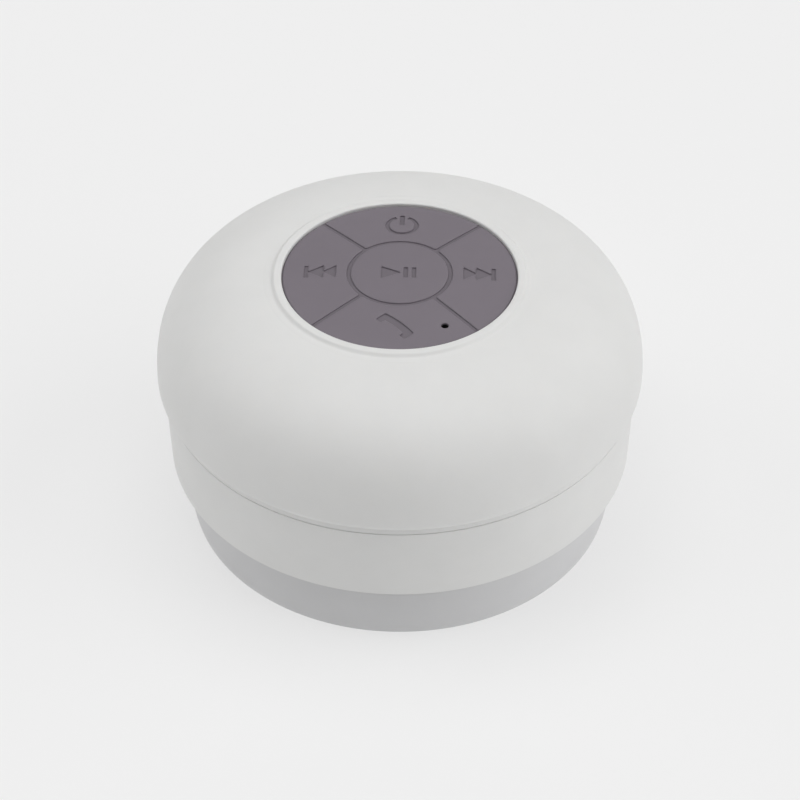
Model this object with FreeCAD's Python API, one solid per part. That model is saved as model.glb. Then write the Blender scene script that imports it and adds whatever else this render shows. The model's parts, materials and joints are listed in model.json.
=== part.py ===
"""Shower speaker: a palm-sized dome on a suction cup, as the separate pieces it is assembled from.

Millimetres, +Z up. The origin is at the centre of the suction cup's lip, on the plane that the lip rests on.
+Y points at the charging port, and -Y at the call key. Each function below makes one node.
"""

import FreeCAD, Part
import math
import os

# Outer form
DOME_R = 43.0               # widest radius of the dome
DOME_WIDE_Z = 30.0          # height of that widest ring
TOP_R = 22.1                # outer radius of the lip round the keypad, where the dome's curve starts
TOP_Z = 48.45               # height of the dome's surface there
LIP_R = 20.4                # radius of the keypad opening
LIP_Z = 48.95               # top of the lip
LIP_EDGE = 0.28             # rounding of the lip's two upper corners
SHOULDER_RISE = 19.1        # how far the dome's side rises before it turns in
SHOULDER_REACH = 3.2        # how far the flat top runs out before it turns down
SHOULDER_DROP = 0.15        # fall of the flat top along that reach
TUCK_Z = 28.2               # where the curve below the widest ring meets the seam's radius
SEAM_R = 41.9               # radius at the seam between the dome and the band
SEAM_Z = 26.95              # lower edge of the dome cover
SEAM_EDGE = 0.2             # rounding of that edge
BAND_TOP_Z = 26.85
BAND_EDGE = 0.2             # rounding of the band's outer edges
BAND_BOTTOM_R = 41.6
BAND_BOTTOM_Z = 12.55
COVER_WALL = 1.2            # soft outer skin
HOUSING_WALL = 1.8
FIT = 0.05                  # gap between shells that only lie in each other
PAST = 1.0                  # how far a cutting tool reaches past the surface it cuts
SLANT = math.sqrt(0.5)      # sine and cosine of 45 degrees

# Keypad
KEY_TOP_Z = 49.2            # top of the keypad at its middle
KEYPAD_RISE = 0.7           # how far its middle stands above its rim
KEY_BASE_Z = 47.5
KEYPAD_R = 20.15
KEY_CORNER = 0.4
KEY_EDGE = 0.18             # rounding of the keys' upper edges
PLAY_R = 8.42               # radius of the round centre key
GROOVE_RING_R = 8.78        # middle of the ring groove
GROOVE_W = 0.72
GROOVE_DEPTH = 0.26
KEY_GAP = 0.05              # between a key's side and the raised strips beside it
WEB_Z = (46.2, 47.0)
WEB_R = 22.35
WEB_ROOM = 0.3              # play round the edge of the web
LEDGE_ROOT = 0.2            # how far the ledge that clamps the web reaches into the dome's skin
STEM_R = 1.8
STEM_END_Z = 44.2
ICON_DEPTH = 0.3
SECTOR_SWITCH_R = 13.5
SECTOR_ANGLES = {"next": 0, "power": 90, "previous": 180, "call": 270}
SECTOR_SIDES = {"next": (-48, 46.5), "power": (46.5, 134), "previous": (134, 225), "call": (225, 312)}
ICON_CORNER = 0.15
MIC_R, MIC_ANGLE = 16.0, 300
MIC_HOLE_R = 0.65

# Upper housing and main board
DECK_Z = (44.7, 46.2)
DECK_R = 24.0
BOARD_Z = (38.7, 39.9)
BOARD_R = 23.5
BOARD_SCREW_R = 20.3
BOARD_TIP_Z = 43.9
BOSS_R = 3.5
BOARD_POST_R = 2.5
SWITCH_SIDE = 6.0
SWITCH_TOP_Z = 43.4
PLUNGER_R = 1.75
MIC_CAN_R, MIC_CAN_TALL = 2.0, 1.5
DIAGONALS = (45, 135, 225, 315)

# Screws: radius of the shank, radius of the head, height of the head
BOARD_SCREW = (0.9, 1.9, 1.3)
HOUSING_SCREW = (1.2, 2.4, 1.7)
CHARGE_BOARD_SCREW = (0.8, 1.7, 1.2)
DRIVER_SCREW = (0.9, 1.5, 1.1)
CARRIER_SCREW = (1.2, 2.4, 1.6)
SHORT_SCREW = 3.6           # shank length of the driver's and the charging board's screws
PLAY = 0.15                 # between a screw's shank and the hole it passes through
BITE = 0.05                 # a pilot hole's radius past the shank's, where the screw cuts its thread

# Wiring
PLUG_FACE, PLUG_BACK, PLUG_HALF = 18.2, 14.0, 3.0
PLUG_UNDER_Z = 36.0
LEAD_R = 0.5
LEAD_PITCH = 1.4            # half the distance between two wires
LEAD_PLUG_Z = 37.2
TAG_X, TAG_TOP_Z = -22.9, 20.5

# Lower housing
LOWER_R = 40.4
FLOOR_Z = (13.1, 15.1)
LOWER_TOP_Z = 26.9
UPPER_BOTTOM_Z = 27.0
HOUSING_SCREW_R = 35.3
BOSS_JOIN_Z = 24.1
HOUSING_SEAT_Z, HOUSING_TIP_Z = 17.6, 31.6
SEAL_GROOVE_DEPTH = 0.7
SEAL_R = 39.5
SEAL_WIRE_R = 0.39

# Charging port, on the +Y side
PORT_Z = 19.9
PORT_MOUTH = (12.4, 7.6, 1.6)       # width, height, corner radius
FLAP = (16.4, 10.4, 3.0)
FLAP_GAP = 0.15
FLAP_OUTER_R = 41.75
FLAP_INNER_R = 40.5
PLUG_SIZE = (11.8, 7.2, 1.4)
PLUG_END_Y = 39.3
WELL_END_Y = 33.4
WELL_WALL = 1.3
USB_MOUTH_Y = 34.9
USB_SIZE = (7.6, 2.7)
CHARGE_BOARD_Z = (17.35, 18.35)
CHARGE_SCREW = (5.3, 26.2)
TETHER_X = (-10.45, -8.5)
TETHER_HALF = 2.5
PAST_WALL_Y = 50.0          # further out than anything on this side

# Loudspeaker driver, facing down. Its heights are counted from the front face of its flange.
DRIVER_Z = 17.0
GASKET_Z = 16.4
FLANGE_R = 24.5
FLANGE_THICK = 1.0
BASKET_OPEN_R = 20.6
DRIVER_SCREW_R = 22.9
HUB_Z = 7.2
YOKE_R, YOKE_BORE_R = 9.5, 8.0
YOKE_TALL, YOKE_ROOF = 6.0, 1.8
POLE_R, POLE_THICK = 6.5, 2.0
COIL_IN_R, FORMER_WALL = 6.95, 0.12
CONE_R, CONE_EDGE_Z = 15.8, 0.6
CAP_Z = 3.6
MESH_R = 19.0

# Battery, on the driver's yoke
BATTERY = (35.0, 30.0, 4.4)         # length, width, height
BATTERY_Z = 30.8

# Suction cup and its carrier
CUP_R = 38.65
CUP_TOP_R = 38.9
CUP_TOP_Z = 10.2
CUP_SKIRT_Z = 1.2           # below this the wall turns in to the lip
CUP_LIP_R = (36.9, 38.4)
CUP_EDGE = 0.7
CUP_CEILING_Z, CUP_CEILING_R = 5.2, 26.0
GRIP_RINGS = (12.0, 22.0)
CARRIER_Z = 7.4
CARRIER_RIM_Z = 8.7
CARRIER_RIM_R = 36.2
CARRIER_TOP_R = 34.6
CARRIER_POST_R = 28.0
CARRIER_ANGLES = (30, 150, 270)
CARRIER_SEAT_Z, CARRIER_TIP_Z = 9.2, 18.8

PARTS = "parts"


# ---- helpers -------------------------------------------------------------------------------------

def vec(x, y, z=0.0):
    return FreeCAD.Vector(x, y, z)


def polar(radius, degrees, z=0.0):
    a = math.radians(degrees)
    return vec(radius * math.cos(a), radius * math.sin(a), z)


def line(p, q):
    """Straight edge between two (radius, height) points of a turned profile."""
    return Part.makeLine(vec(p[0], 0, p[1]), vec(q[0], 0, q[1]))


def arc(p, middle, q):
    return Part.Arc(vec(p[0], 0, p[1]), vec(middle[0], 0, middle[1]), vec(q[0], 0, q[1])).toShape()


def lines(*points):
    return [line(p, q) for p, q in zip(points, points[1:])]


def turned(edges):
    """Solid of revolution about Z of a closed profile."""
    return Part.Face(Part.Wire(edges)).revolve(vec(0, 0, 0), vec(0, 0, 1), 360)


def turned_points(*points):
    return turned(lines(*points, points[0]))


def cylinder(radius, z0, z1, x=0.0, y=0.0):
    return Part.makeCylinder(radius, z1 - z0, vec(x, y, z0))


def cylinder_at(radius, z0, z1, centre):
    return cylinder(radius, z0, z1, centre.x, centre.y)


def ring(inner, outer, z0, z1, x=0.0, y=0.0):
    return cylinder(outer, z0, z1, x, y).cut(cylinder(inner, z0 - PAST, z1 + PAST, x, y))


def bores(radius, z0, z1, circle_r, angles):
    """Vertical cylinders with their centres on a circle about Z."""
    return [cylinder_at(radius, z0, z1, polar(circle_r, a)) for a in angles]


def block(x0, x1, y0, y1, z0, z1):
    return Part.makeBox(x1 - x0, y1 - y0, z1 - z0, vec(x0, y0, z0))


def edges_along(shape, direction):
    """Straight edges of the shape that run along a direction."""
    straight = [e for e in shape.Edges if e.Curve.TypeId == "Part::GeomLine"]
    return [e for e in straight if abs(e.tangentAt(e.FirstParameter) * direction) > 0.999]


def flat_edges_at(shape, z, tolerance=1e-4):
    """Edges that lie wholly at one height."""
    return [e for e in shape.Edges if e.BoundBox.ZLength < tolerance and abs(e.BoundBox.ZMin - z) < tolerance]


def rim_edges_at(shape, z, radius):
    """Edges at one height that reach out past a radius."""
    return [e for e in flat_edges_at(shape, z) if e.BoundBox.XMax > radius]


def port_prism(size, y0, y1):
    """Rounded rectangle centred on the charging port, extruded along Y."""
    width, height, corner = size
    prism = block(-width / 2, width / 2, y0, y1, PORT_Z - height / 2, PORT_Z + height / 2)
    return prism.makeFillet(corner, edges_along(prism, vec(0, 1, 0)))


def screw(centre, tip_z, seat_z, size):
    """Pan-head screw along Z with a cross recess. Its head is on the side of the seat away from the tip."""
    shank_r, head_r, tall = size
    up = 1 if seat_z > tip_z else -1
    head_z = seat_z + up * tall
    head = cylinder_at(head_r, min(seat_z, head_z), max(seat_z, head_z), centre)
    head = head.makeFillet(0.35, flat_edges_at(head, head_z))
    body = head.fuse(cylinder_at(shank_r, min(seat_z, tip_z), max(seat_z, tip_z), centre))
    depth, arm, half = tall * 0.55, head_r * 0.62, head_r * 0.13
    z0 = min(head_z, head_z - up * depth)
    across = block(centre.x - arm, centre.x + arm, centre.y - half, centre.y + half, z0, z0 + depth)
    along = block(centre.x - half, centre.x + half, centre.y - arm, centre.y + arm, z0, z0 + depth)
    return body.cut(across.fuse(along))


def lead(points, radius):
    """Round wire along straight runs joined by tangent arcs."""
    points = [vec(*p) for p in points]
    edges, start = [], points[0]
    for before, corner, after in zip(points, points[1:], points[2:]):
        into, out = (corner - before).normalize(), (after - corner).normalize()
        run = min((corner - before).Length, (after - corner).Length) * 0.45
        turn = into.getAngle(out)
        bend = run / math.tan(turn / 2)
        first, last = corner - into * run, corner + out * run
        inward = (out - into).normalize()
        middle = corner + inward * (bend / math.cos(turn / 2) - bend)
        edges.append(Part.makeLine(start, first))
        edges.append(Part.Arc(first, middle, last).toShape())
        start = last
    edges.append(Part.makeLine(start, points[-1]))
    path = Part.Wire(edges)
    section = Part.Wire([Part.makeCircle(radius, points[0], points[1] - points[0])])
    tube = path.makePipeShell([section], True, True)
    return tube if tube.ShapeType == "Solid" else Part.Solid(tube)


def group(solids):
    return Part.makeCompound(solids)


# ---- dome ----------------------------------------------------------------------------------------

def dome_poles(inset):
    """Poles of the dome's side curve, pulled in by a wall thickness at both ends."""
    across = (DOME_R - TOP_R - inset) / (DOME_R - TOP_R)
    up = (TOP_Z - DOME_WIDE_Z - inset) / (TOP_Z - DOME_WIDE_Z)
    outer = [
        (DOME_R, DOME_WIDE_Z),
        (DOME_R, DOME_WIDE_Z + SHOULDER_RISE),
        (TOP_R + SHOULDER_REACH, TOP_Z - SHOULDER_DROP),
        (TOP_R, TOP_Z),
    ]
    return [(TOP_R + (r - TOP_R) * across, DOME_WIDE_Z + (z - DOME_WIDE_Z) * up) for r, z in outer]


def dome_side(inset, foot_r):
    """Edges from the top of the dome's curve down to its tucked-in foot, and the foot's point."""
    curve = Part.BezierCurve()
    curve.setPoles([vec(r, 0, z) for r, z in reversed(dome_poles(inset))])
    widest, foot = (DOME_R - inset, DOME_WIDE_Z), (foot_r, TUCK_Z)
    reach, drop = widest[0] - foot[0], widest[1] - foot[1]
    radius = (reach ** 2 + drop ** 2) / (2 * reach)
    turn = math.asin(drop / radius)
    middle = (widest[0] - radius * (1 - math.cos(turn / 2)), DOME_WIDE_Z - radius * math.sin(turn / 2))
    return [curve.toShape(), arc(widest, middle, foot)], foot


def dome_solid(inset, foot_r, bottom_z):
    """Filled dome of the given inset, from a flat bottom to a flat top inside the lip's radius."""
    side, foot = dome_side(inset, foot_r)
    edges = lines((0, TOP_Z - inset), (TOP_R, TOP_Z - inset)) + side
    edges += lines(foot, (foot_r, bottom_z), (0, bottom_z), (0, TOP_Z - inset))
    return turned(edges)


def dome_cover():
    """Soft white skin over the dome, with the raised lip round the keypad."""
    edge, cut = LIP_EDGE, LIP_EDGE * (1 - SLANT)
    side, foot = dome_side(0, SEAM_R)
    inner_side, inner_foot = dome_side(COVER_WALL, SEAM_R - COVER_WALL)
    outer = lines((LIP_R, WEB_Z[1]), (LIP_R, LIP_Z - edge))
    outer.append(arc((LIP_R, LIP_Z - edge), (LIP_R + cut, LIP_Z - cut), (LIP_R + edge, LIP_Z)))
    outer += lines((LIP_R + edge, LIP_Z), (TOP_R - edge, LIP_Z))
    outer.append(arc((TOP_R - edge, LIP_Z), (TOP_R - cut, LIP_Z - cut), (TOP_R, LIP_Z - edge)))
    outer += lines((TOP_R, LIP_Z - edge), (TOP_R, TOP_Z)) + side
    outer += lines(foot, (SEAM_R, SEAM_Z), (SEAM_R - COVER_WALL, SEAM_Z), inner_foot)
    inner_top = (TOP_R, TOP_Z - COVER_WALL)
    body = turned(outer + inner_side[::-1] + lines(inner_top, (TOP_R, WEB_Z[1]), (LIP_R, WEB_Z[1])))
    ledge = ring(TOP_R - LEDGE_ROOT, WEB_R + WEB_ROOM - FIT, WEB_Z[1], inner_top[1] + LEDGE_ROOT)
    body = body.fuse(ledge).removeSplitter()
    return body.makeFillet(SEAM_EDGE, rim_edges_at(body, SEAM_Z, SEAM_R - FIT))


def upper_housing():
    """Hard inner shell of the dome, with the keypad deck and the screw bosses."""
    skin = COVER_WALL + FIT
    foot_r = SEAM_R - COVER_WALL - 2 * FIT
    outside = dome_solid(skin, foot_r, UPPER_BOTTOM_Z)
    inside = dome_solid(skin + HOUSING_WALL, foot_r - HOUSING_WALL, UPPER_BOTTOM_Z - PAST)
    core = cylinder(LOWER_R - HOUSING_WALL - FIT, BOSS_JOIN_Z - PAST, UPPER_BOTTOM_Z)
    bosses = bores(BOSS_R, BOSS_JOIN_Z, TOP_Z, HOUSING_SCREW_R, DIAGONALS)
    bosses = [b.common(outside.fuse(core)) for b in bosses]
    posts = bores(BOARD_POST_R, BOARD_Z[1], DECK_Z[0] + FIT, BOARD_SCREW_R, DIAGONALS)
    body = outside.cut(inside).fuse([cylinder(DECK_R, *DECK_Z)] + bosses + posts)
    seat = cylinder(WEB_R + WEB_ROOM, DECK_Z[1], TOP_Z)
    deck = (DECK_Z[0] - PAST, DECK_Z[1] + PAST)
    cuts = [seat, cylinder_at(MIC_HOLE_R + 0.25, *deck, polar(MIC_R, MIC_ANGLE))]
    beyond = 0.5
    housing_z, board_z = (BOSS_JOIN_Z - PAST, HOUSING_TIP_Z + beyond), (BOARD_Z[1] - PAST, BOARD_TIP_Z + beyond)
    cuts += bores(HOUSING_SCREW[0] + BITE, *housing_z, HOUSING_SCREW_R, DIAGONALS)
    cuts += bores(BOARD_SCREW[0] + BITE, *board_z, BOARD_SCREW_R, DIAGONALS)
    cuts += [cylinder_at(STEM_R + 0.5, *deck, p) for p in switch_places().values()]
    return body.cut(cuts).removeSplitter()


# ---- keypad --------------------------------------------------------------------------------------

def switch_places():
    places = {name: polar(SECTOR_SWITCH_R, a) for name, a in SECTOR_ANGLES.items()}
    places["play"] = vec(0, 0, 0)
    return places


def keypad_ball():
    """Ball whose top is the keypad's slightly domed surface. Its seam is turned to the bottom."""
    radius = (KEYPAD_R ** 2 + KEYPAD_RISE ** 2) / (2 * KEYPAD_RISE)
    ball = Part.makeSphere(radius)
    ball.rotate(vec(0, 0, 0), vec(0, 1, 0), 90)
    ball.translate(vec(0, 0, KEY_TOP_Z - radius))
    return ball


def surface_z(radius):
    """Height of the keypad's surface at a distance from its middle."""
    return KEY_TOP_Z - KEYPAD_RISE * (radius / KEYPAD_R) ** 2


def crowned(shape, depth=0.0):
    """The shape, cut off at the keypad's surface or at a depth under it."""
    ball = keypad_ball()
    ball.translate(vec(0, 0, -depth))
    return shape.common(ball)


def sector(inner, outer, half_gap, sides, z0, z1):
    """Part of a ring between two angles. Its sides stay half_gap inside them, and its corners are rounded."""
    start, stop = sides
    turn_in, turn_out = (math.degrees(math.asin(half_gap / r)) for r in (inner, outer))
    a, b = polar(inner, start + turn_in, z0), polar(outer, start + turn_out, z0)
    c, d = polar(outer, stop - turn_out, z0), polar(inner, stop - turn_in, z0)
    middle = (start + stop) / 2
    edges = [
        Part.makeLine(a, b),
        Part.Arc(b, polar(outer, middle, z0), c).toShape(),
        Part.makeLine(c, d),
        Part.Arc(d, polar(inner, middle, z0), a).toShape(),
    ]
    body = Part.Face(Part.Wire(edges)).extrude(vec(0, 0, z1 - z0))
    return body.makeFillet(KEY_CORNER, edges_along(body, vec(0, 0, 1)))


def keypad_web():
    """Silicone sheet under the keys, clamped at its edge, with the raised strips that floor the grooves."""
    half = GROOVE_W / 2
    strips = crowned(cylinder(LIP_R - FIT, WEB_Z[0], KEY_TOP_Z), GROOVE_DEPTH)
    rooms = [cylinder(PLAY_R + KEY_GAP, WEB_Z[1], KEY_TOP_Z)]
    rooms += [sector(GROOVE_RING_R + half - KEY_GAP, LIP_R + PAST, half - KEY_GAP, sides, WEB_Z[1], KEY_TOP_Z)
              for sides in SECTOR_SIDES.values()]
    body = cylinder(WEB_R, *WEB_Z).fuse(strips.cut(rooms)).removeSplitter()
    through = (WEB_Z[0] - PAST, KEY_TOP_Z + PAST)
    holes = [cylinder_at(STEM_R + 0.3, *through, p) for p in switch_places().values()]
    return body.cut(holes + [cylinder_at(MIC_HOLE_R, *through, polar(MIC_R, MIC_ANGLE))])


def icon_floor(radius):
    """Height of the floor of an icon whose middle is at this distance from the keypad's."""
    return surface_z(radius) - ICON_DEPTH


def polygon_tool(points, z0, corner=ICON_CORNER):
    """Prism of an icon's outline, from its floor to above the key."""
    corners = [vec(x, y, z0) for x, y in points]
    tool = Part.Face(Part.makePolygon(corners + corners[:1])).extrude(vec(0, 0, PAST))
    return tool.makeFillet(corner, edges_along(tool, vec(0, 0, 1)))


def bar_tool(x0, x1, y0, y1, z0):
    return polygon_tool([(x0, y0), (x1, y0), (x1, y1), (x0, y1)], z0)


def triangle_tool(base_x, tip_x, y, half, z0):
    """Triangle pointing along X from its base to its tip, with the tip cut square."""
    tip = 0.12
    return polygon_tool([(base_x, y - half), (tip_x, y - tip), (tip_x, y + tip), (base_x, y + half)], z0, 0.1)


def skip_icon(side):
    """Two triangles that run into each other and into a bar: side +1 points to +X, side -1 to -X."""
    half, bar_half, y = 1.75, 1.65, 0.3
    z0 = icon_floor(13.8)
    first = triangle_tool(side * 11.0, side * 13.4, y, half, z0)
    second = triangle_tool(side * 13.15, side * 15.95, y, half, z0)
    ends = sorted((side * 15.85, side * 16.55))
    return [first, second, bar_tool(ends[0], ends[1], y - bar_half, y + bar_half, z0)]


def play_icon():
    """Triangle and two bars."""
    low, high = -1.45, 1.45
    z0 = icon_floor(0)
    bars = [bar_tool(x, x + 0.72, low, high, z0) for x in (0.68, 2.1)]
    return [triangle_tool(-3.2, 0.3, 0, 1.7, z0)] + bars


def power_icon():
    """Open ring with an upright bar through its gap."""
    centre_y, outer, stroke, gap = 14.0, 2.95, 0.72, 0.85
    z0 = icon_floor(centre_y)
    circle = ring(outer - stroke, outer, z0, z0 + PAST, 0, centre_y)
    circle = circle.cut(block(-gap, gap, centre_y, centre_y + outer + PAST, z0 - PAST, z0 + 2 * PAST))
    circle = circle.makeFillet(ICON_CORNER, edges_along(circle, vec(0, 0, 1)))
    return [circle, bar_tool(-0.38, 0.38, centre_y + 0.15, centre_y + 3.1, z0)]


def call_icon():
    """Telephone handset: a bowed grip with an ear piece at each end, turned onto the diagonal."""
    half, top, low, under, ear = 3.5, 0.88, -1.32, -0.4, 1.25
    bow, under_bow, turn = 0.3, 0.2, -45
    centre = vec(-0.25, -14.1)
    z0 = icon_floor(centre.Length)
    a, b = vec(-half, top, z0), vec(half, top, z0)
    c, d = vec(half, low, z0), vec(half - ear, low, z0)
    e, f = vec(half - ear, under, z0), vec(-half + ear, under, z0)
    g, h = vec(-half + ear, low, z0), vec(-half, low, z0)
    edges = [
        Part.Arc(a, vec(0, top + bow, z0), b).toShape(),
        Part.makeLine(b, c),
        Part.makeLine(c, d),
        Part.makeLine(d, e),
        Part.Arc(e, vec(0, under + under_bow, z0), f).toShape(),
        Part.makeLine(f, g),
        Part.makeLine(g, h),
        Part.makeLine(h, a),
    ]
    tool = Part.Face(Part.Wire(edges)).extrude(vec(0, 0, PAST))
    tool = tool.makeFillet(ICON_CORNER, edges_along(tool, vec(0, 0, 1)))
    tool.rotate(vec(0, 0, 0), vec(0, 0, 1), turn)
    tool.translate(centre)
    return [tool]


def key_body(cap, place):
    """Key cap with a slightly domed top and a soft edge, and the stem that presses its switch."""
    cap = crowned(cap)
    top = [face for face in cap.Faces if face.Surface.TypeId == "Part::GeomSphere"][0]
    cap = cap.makeFillet(KEY_EDGE, top.Edges)
    return cap.fuse(cylinder_at(STEM_R, STEM_END_Z, KEY_BASE_Z + FIT, place)).removeSplitter()


def sector_key(name, icon):
    half = GROOVE_W / 2
    cap = sector(GROOVE_RING_R + half, KEYPAD_R, half, SECTOR_SIDES[name], KEY_BASE_Z, KEY_TOP_Z)
    return key_body(cap, switch_places()[name]).cut(icon)


def power_key():
    return sector_key("power", power_icon())


def previous_key():
    return sector_key("previous", skip_icon(-1))


def next_key():
    return sector_key("next", skip_icon(1))


def call_key():
    hole = cylinder_at(MIC_HOLE_R, KEY_BASE_Z - PAST, KEY_TOP_Z, polar(MIC_R, MIC_ANGLE))
    return sector_key("call", call_icon() + [hole])


def play_key():
    return key_body(cylinder(PLAY_R, KEY_BASE_Z, KEY_TOP_Z), vec(0, 0, 0)).cut(play_icon())


# ---- main board ----------------------------------------------------------------------------------

def main_board():
    board = cylinder(BOARD_R, *BOARD_Z)
    through = (BOARD_Z[0] - PAST, BOARD_Z[1] + PAST)
    return board.cut(bores(BOARD_SCREW[0] + PLAY, *through, BOARD_SCREW_R, DIAGONALS))


def board_screws():
    return group([screw(polar(BOARD_SCREW_R, a), BOARD_TIP_Z, BOARD_Z[0], BOARD_SCREW) for a in DIAGONALS])


def switch_bodies():
    """Five tact switches, each a square case with four solder feet."""
    half, foot_x, foot_y, foot_half, foot_tall = SWITCH_SIDE / 2, 3.6, 2.25, (0.7, 0.35), 0.25
    made = []
    for place in switch_places().values():
        x, y = place.x, place.y
        case = block(x - half, x + half, y - half, y + half, BOARD_Z[1], SWITCH_TOP_Z)
        case = case.makeFillet(0.4, edges_along(case, vec(0, 0, 1)))
        corners = [(x + sx * foot_x, y + sy * foot_y) for sx in (-1, 1) for sy in (-1, 1)]
        feet = [block(fx - foot_half[0], fx + foot_half[0], fy - foot_half[1], fy + foot_half[1],
                      BOARD_Z[1], BOARD_Z[1] + foot_tall) for fx, fy in corners]
        bore = cylinder(PLUNGER_R + FIT, SWITCH_TOP_Z - 0.9, SWITCH_TOP_Z + PAST, x, y)
        made.append(case.fuse(feet).cut(bore))
    return group(made)


def plunger(name):
    """Round button of one tact switch. It sits under the key's stem and goes down with it."""
    body = cylinder_at(PLUNGER_R, SWITCH_TOP_Z - 0.45, STEM_END_Z, switch_places()[name])
    return body.makeFillet(0.15, flat_edges_at(body, STEM_END_Z))


def board_chips():
    """Radio, amplifier, charger, inductor, crystal and memory packages, and three capacitors."""
    under = BOARD_Z[0]
    chips = [
        block(-6, 1, -8, -1, under - 0.9, under),
        block(4, 8, -7, -2, under - 1.0, under),
        block(-6, -2, 3, 8, under - 1.2, under),
        block(1, 5, 2, 6, under - 1.6, under),
        block(-11, -8.5, -2, 2, under - 0.8, under),
        block(7, 10, 3, 5.5, under - 0.7, under),
    ]
    capacitors = [cylinder(1.5, under - 2.0, under, x, y) for x, y in ((-9, 8), (9, -10), (-10, -8))]
    chips = [c.makeChamfer(0.15, flat_edges_at(c, c.BoundBox.ZMin)) for c in chips]
    return group(chips + capacitors)


def microphone():
    place = polar(MIC_R, MIC_ANGLE)
    can = cylinder_at(MIC_CAN_R, BOARD_Z[1], BOARD_Z[1] + MIC_CAN_TALL, place)
    return can.cut(cylinder_at(0.5, BOARD_Z[1] + 1.2, BOARD_Z[1] + 2, place))


def microphone_boot():
    """Rubber tube that seals the microphone to the hole in the deck."""
    place = polar(MIC_R, MIC_ANGLE)
    boot = cylinder_at(MIC_CAN_R + 0.5, BOARD_Z[1] + 0.3, DECK_Z[0], place)
    can = cylinder_at(MIC_CAN_R, BOARD_Z[1], BOARD_Z[1] + MIC_CAN_TALL, place)
    return boot.cut([can, cylinder_at(MIC_HOLE_R + PLAY, BOARD_Z[1], DECK_Z[0] + PAST, place)])


def lead_plugs():
    """Three wire-to-board plugs under the main board: battery, speaker and charging."""
    slot_x, slot_z = (PLUG_FACE - 1.5, PLUG_FACE - 0.8), (PLUG_UNDER_Z - PAST, PLUG_UNDER_Z + 0.6)
    made = []
    for turn in (0, 180, 90):
        case = block(PLUG_BACK, PLUG_FACE, -PLUG_HALF, PLUG_HALF, PLUG_UNDER_Z, BOARD_Z[0])
        case = case.cut([block(*slot_x, y - LEAD_R, y + LEAD_R, *slot_z) for y in (-LEAD_PITCH, LEAD_PITCH)])
        case.rotate(vec(0, 0, 0), vec(0, 0, 1), turn)
        made.append(case)
    return group(made)


def battery_lead(side):
    """Wire from the battery's edge, out past the board and up into its plug."""
    z = BATTERY_Z + BATTERY[2] / 2
    out = PLUG_FACE + 4.2
    y = side * LEAD_PITCH
    route = [(BATTERY[0] / 2, y, z), (out, y, z), (out, y, LEAD_PLUG_Z), (PLUG_FACE, y, LEAD_PLUG_Z)]
    return lead(route, LEAD_R)


def speaker_leads():
    """Two wires from the driver's tags, up past the battery to the board."""
    return group([lead([(TAG_X, y, TAG_TOP_Z), (TAG_X, y, LEAD_PLUG_Z), (-PLUG_FACE, y, LEAD_PLUG_Z)], LEAD_R)
                  for y in (-LEAD_PITCH, LEAD_PITCH)])


def charge_leads():
    """Two wires from the charging board up to the main board."""
    y = CHARGE_SCREW[1]
    return group([lead([(x, y, CHARGE_BOARD_Z[1]), (x, y, LEAD_PLUG_Z), (x, PLUG_FACE, LEAD_PLUG_Z)], LEAD_R)
                  for x in (-LEAD_PITCH, LEAD_PITCH)])


# ---- lower housing -------------------------------------------------------------------------------

def grille_holes():
    """Sound holes in rings under the driver's cone."""
    hole_r, pitch, rings = 1.1, 4.0, 4
    through = (FLOOR_Z[0] - PAST, FLOOR_Z[1] + PAST)
    holes = [cylinder(hole_r, *through)]
    for k in range(1, rings + 1):
        count = 6 * k
        holes += bores(hole_r, *through, pitch * k, [360.0 * i / count for i in range(count)])
    return holes


def lower_housing():
    """Hard lower shell: wall, floor with the grille, bosses for every screw and the seal's groove."""
    wall = ring(LOWER_R - HOUSING_WALL, LOWER_R, FLOOR_Z[0], LOWER_TOP_Z)
    floor = cylinder(LOWER_R - 0.5, *FLOOR_Z)
    bosses = bores(BOSS_R, FLOOR_Z[0], BOSS_JOIN_Z, HOUSING_SCREW_R, DIAGONALS)
    bosses += bores(2.8, FLOOR_Z[0], CARRIER_TIP_Z + 2.2, CARRIER_POST_R, CARRIER_ANGLES)
    driver_seat = ring(BASKET_OPEN_R - 0.2, FLANGE_R, FLOOR_Z[0], GASKET_Z)
    x, y = CHARGE_SCREW
    board_posts = [cylinder(1.9, FLOOR_Z[0], CHARGE_BOARD_Z[0], side * x, y) for side in (-1, 1)]
    body = wall.fuse([floor, driver_seat] + bosses + board_posts)
    under, pilot_z = FLOOR_Z[0] - PAST, FLOOR_Z[0] + 1.0
    cuts = [ring(SEAL_R - 0.45, SEAL_R + 0.45, LOWER_TOP_Z - SEAL_GROOVE_DEPTH, LOWER_TOP_Z + PAST)]
    cuts += bores(HOUSING_SCREW[1] + 0.2, under, HOUSING_SEAT_Z, HOUSING_SCREW_R, DIAGONALS)
    shank_z = (HOUSING_SEAT_Z - PAST, BOSS_JOIN_Z + PAST)
    cuts += bores(HOUSING_SCREW[0] + PLAY, *shank_z, HOUSING_SCREW_R, DIAGONALS)
    cuts += bores(CARRIER_SCREW[0] + BITE, under, CARRIER_TIP_Z + 0.8, CARRIER_POST_R, CARRIER_ANGLES)
    cuts += bores(DRIVER_SCREW[0] + BITE, pilot_z, GASKET_Z + PAST, DRIVER_SCREW_R, DIAGONALS)
    cuts += [cylinder(CHARGE_BOARD_SCREW[0] + BITE, pilot_z, CHARGE_BOARD_Z[0] + PAST, side * x, y)
             for side in (-1, 1)]
    width, height, corner = PORT_MOUTH
    well = (width + 2 * WELL_WALL + 2 * FIT, height + 2 * WELL_WALL + 2 * FIT, corner + WELL_WALL)
    cuts.append(port_prism(well, WELL_END_Y - FIT, LOWER_R + PAST))
    cuts.append(tether_slot(FIT))
    return body.cut(cuts + grille_holes()).removeSplitter()


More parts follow.
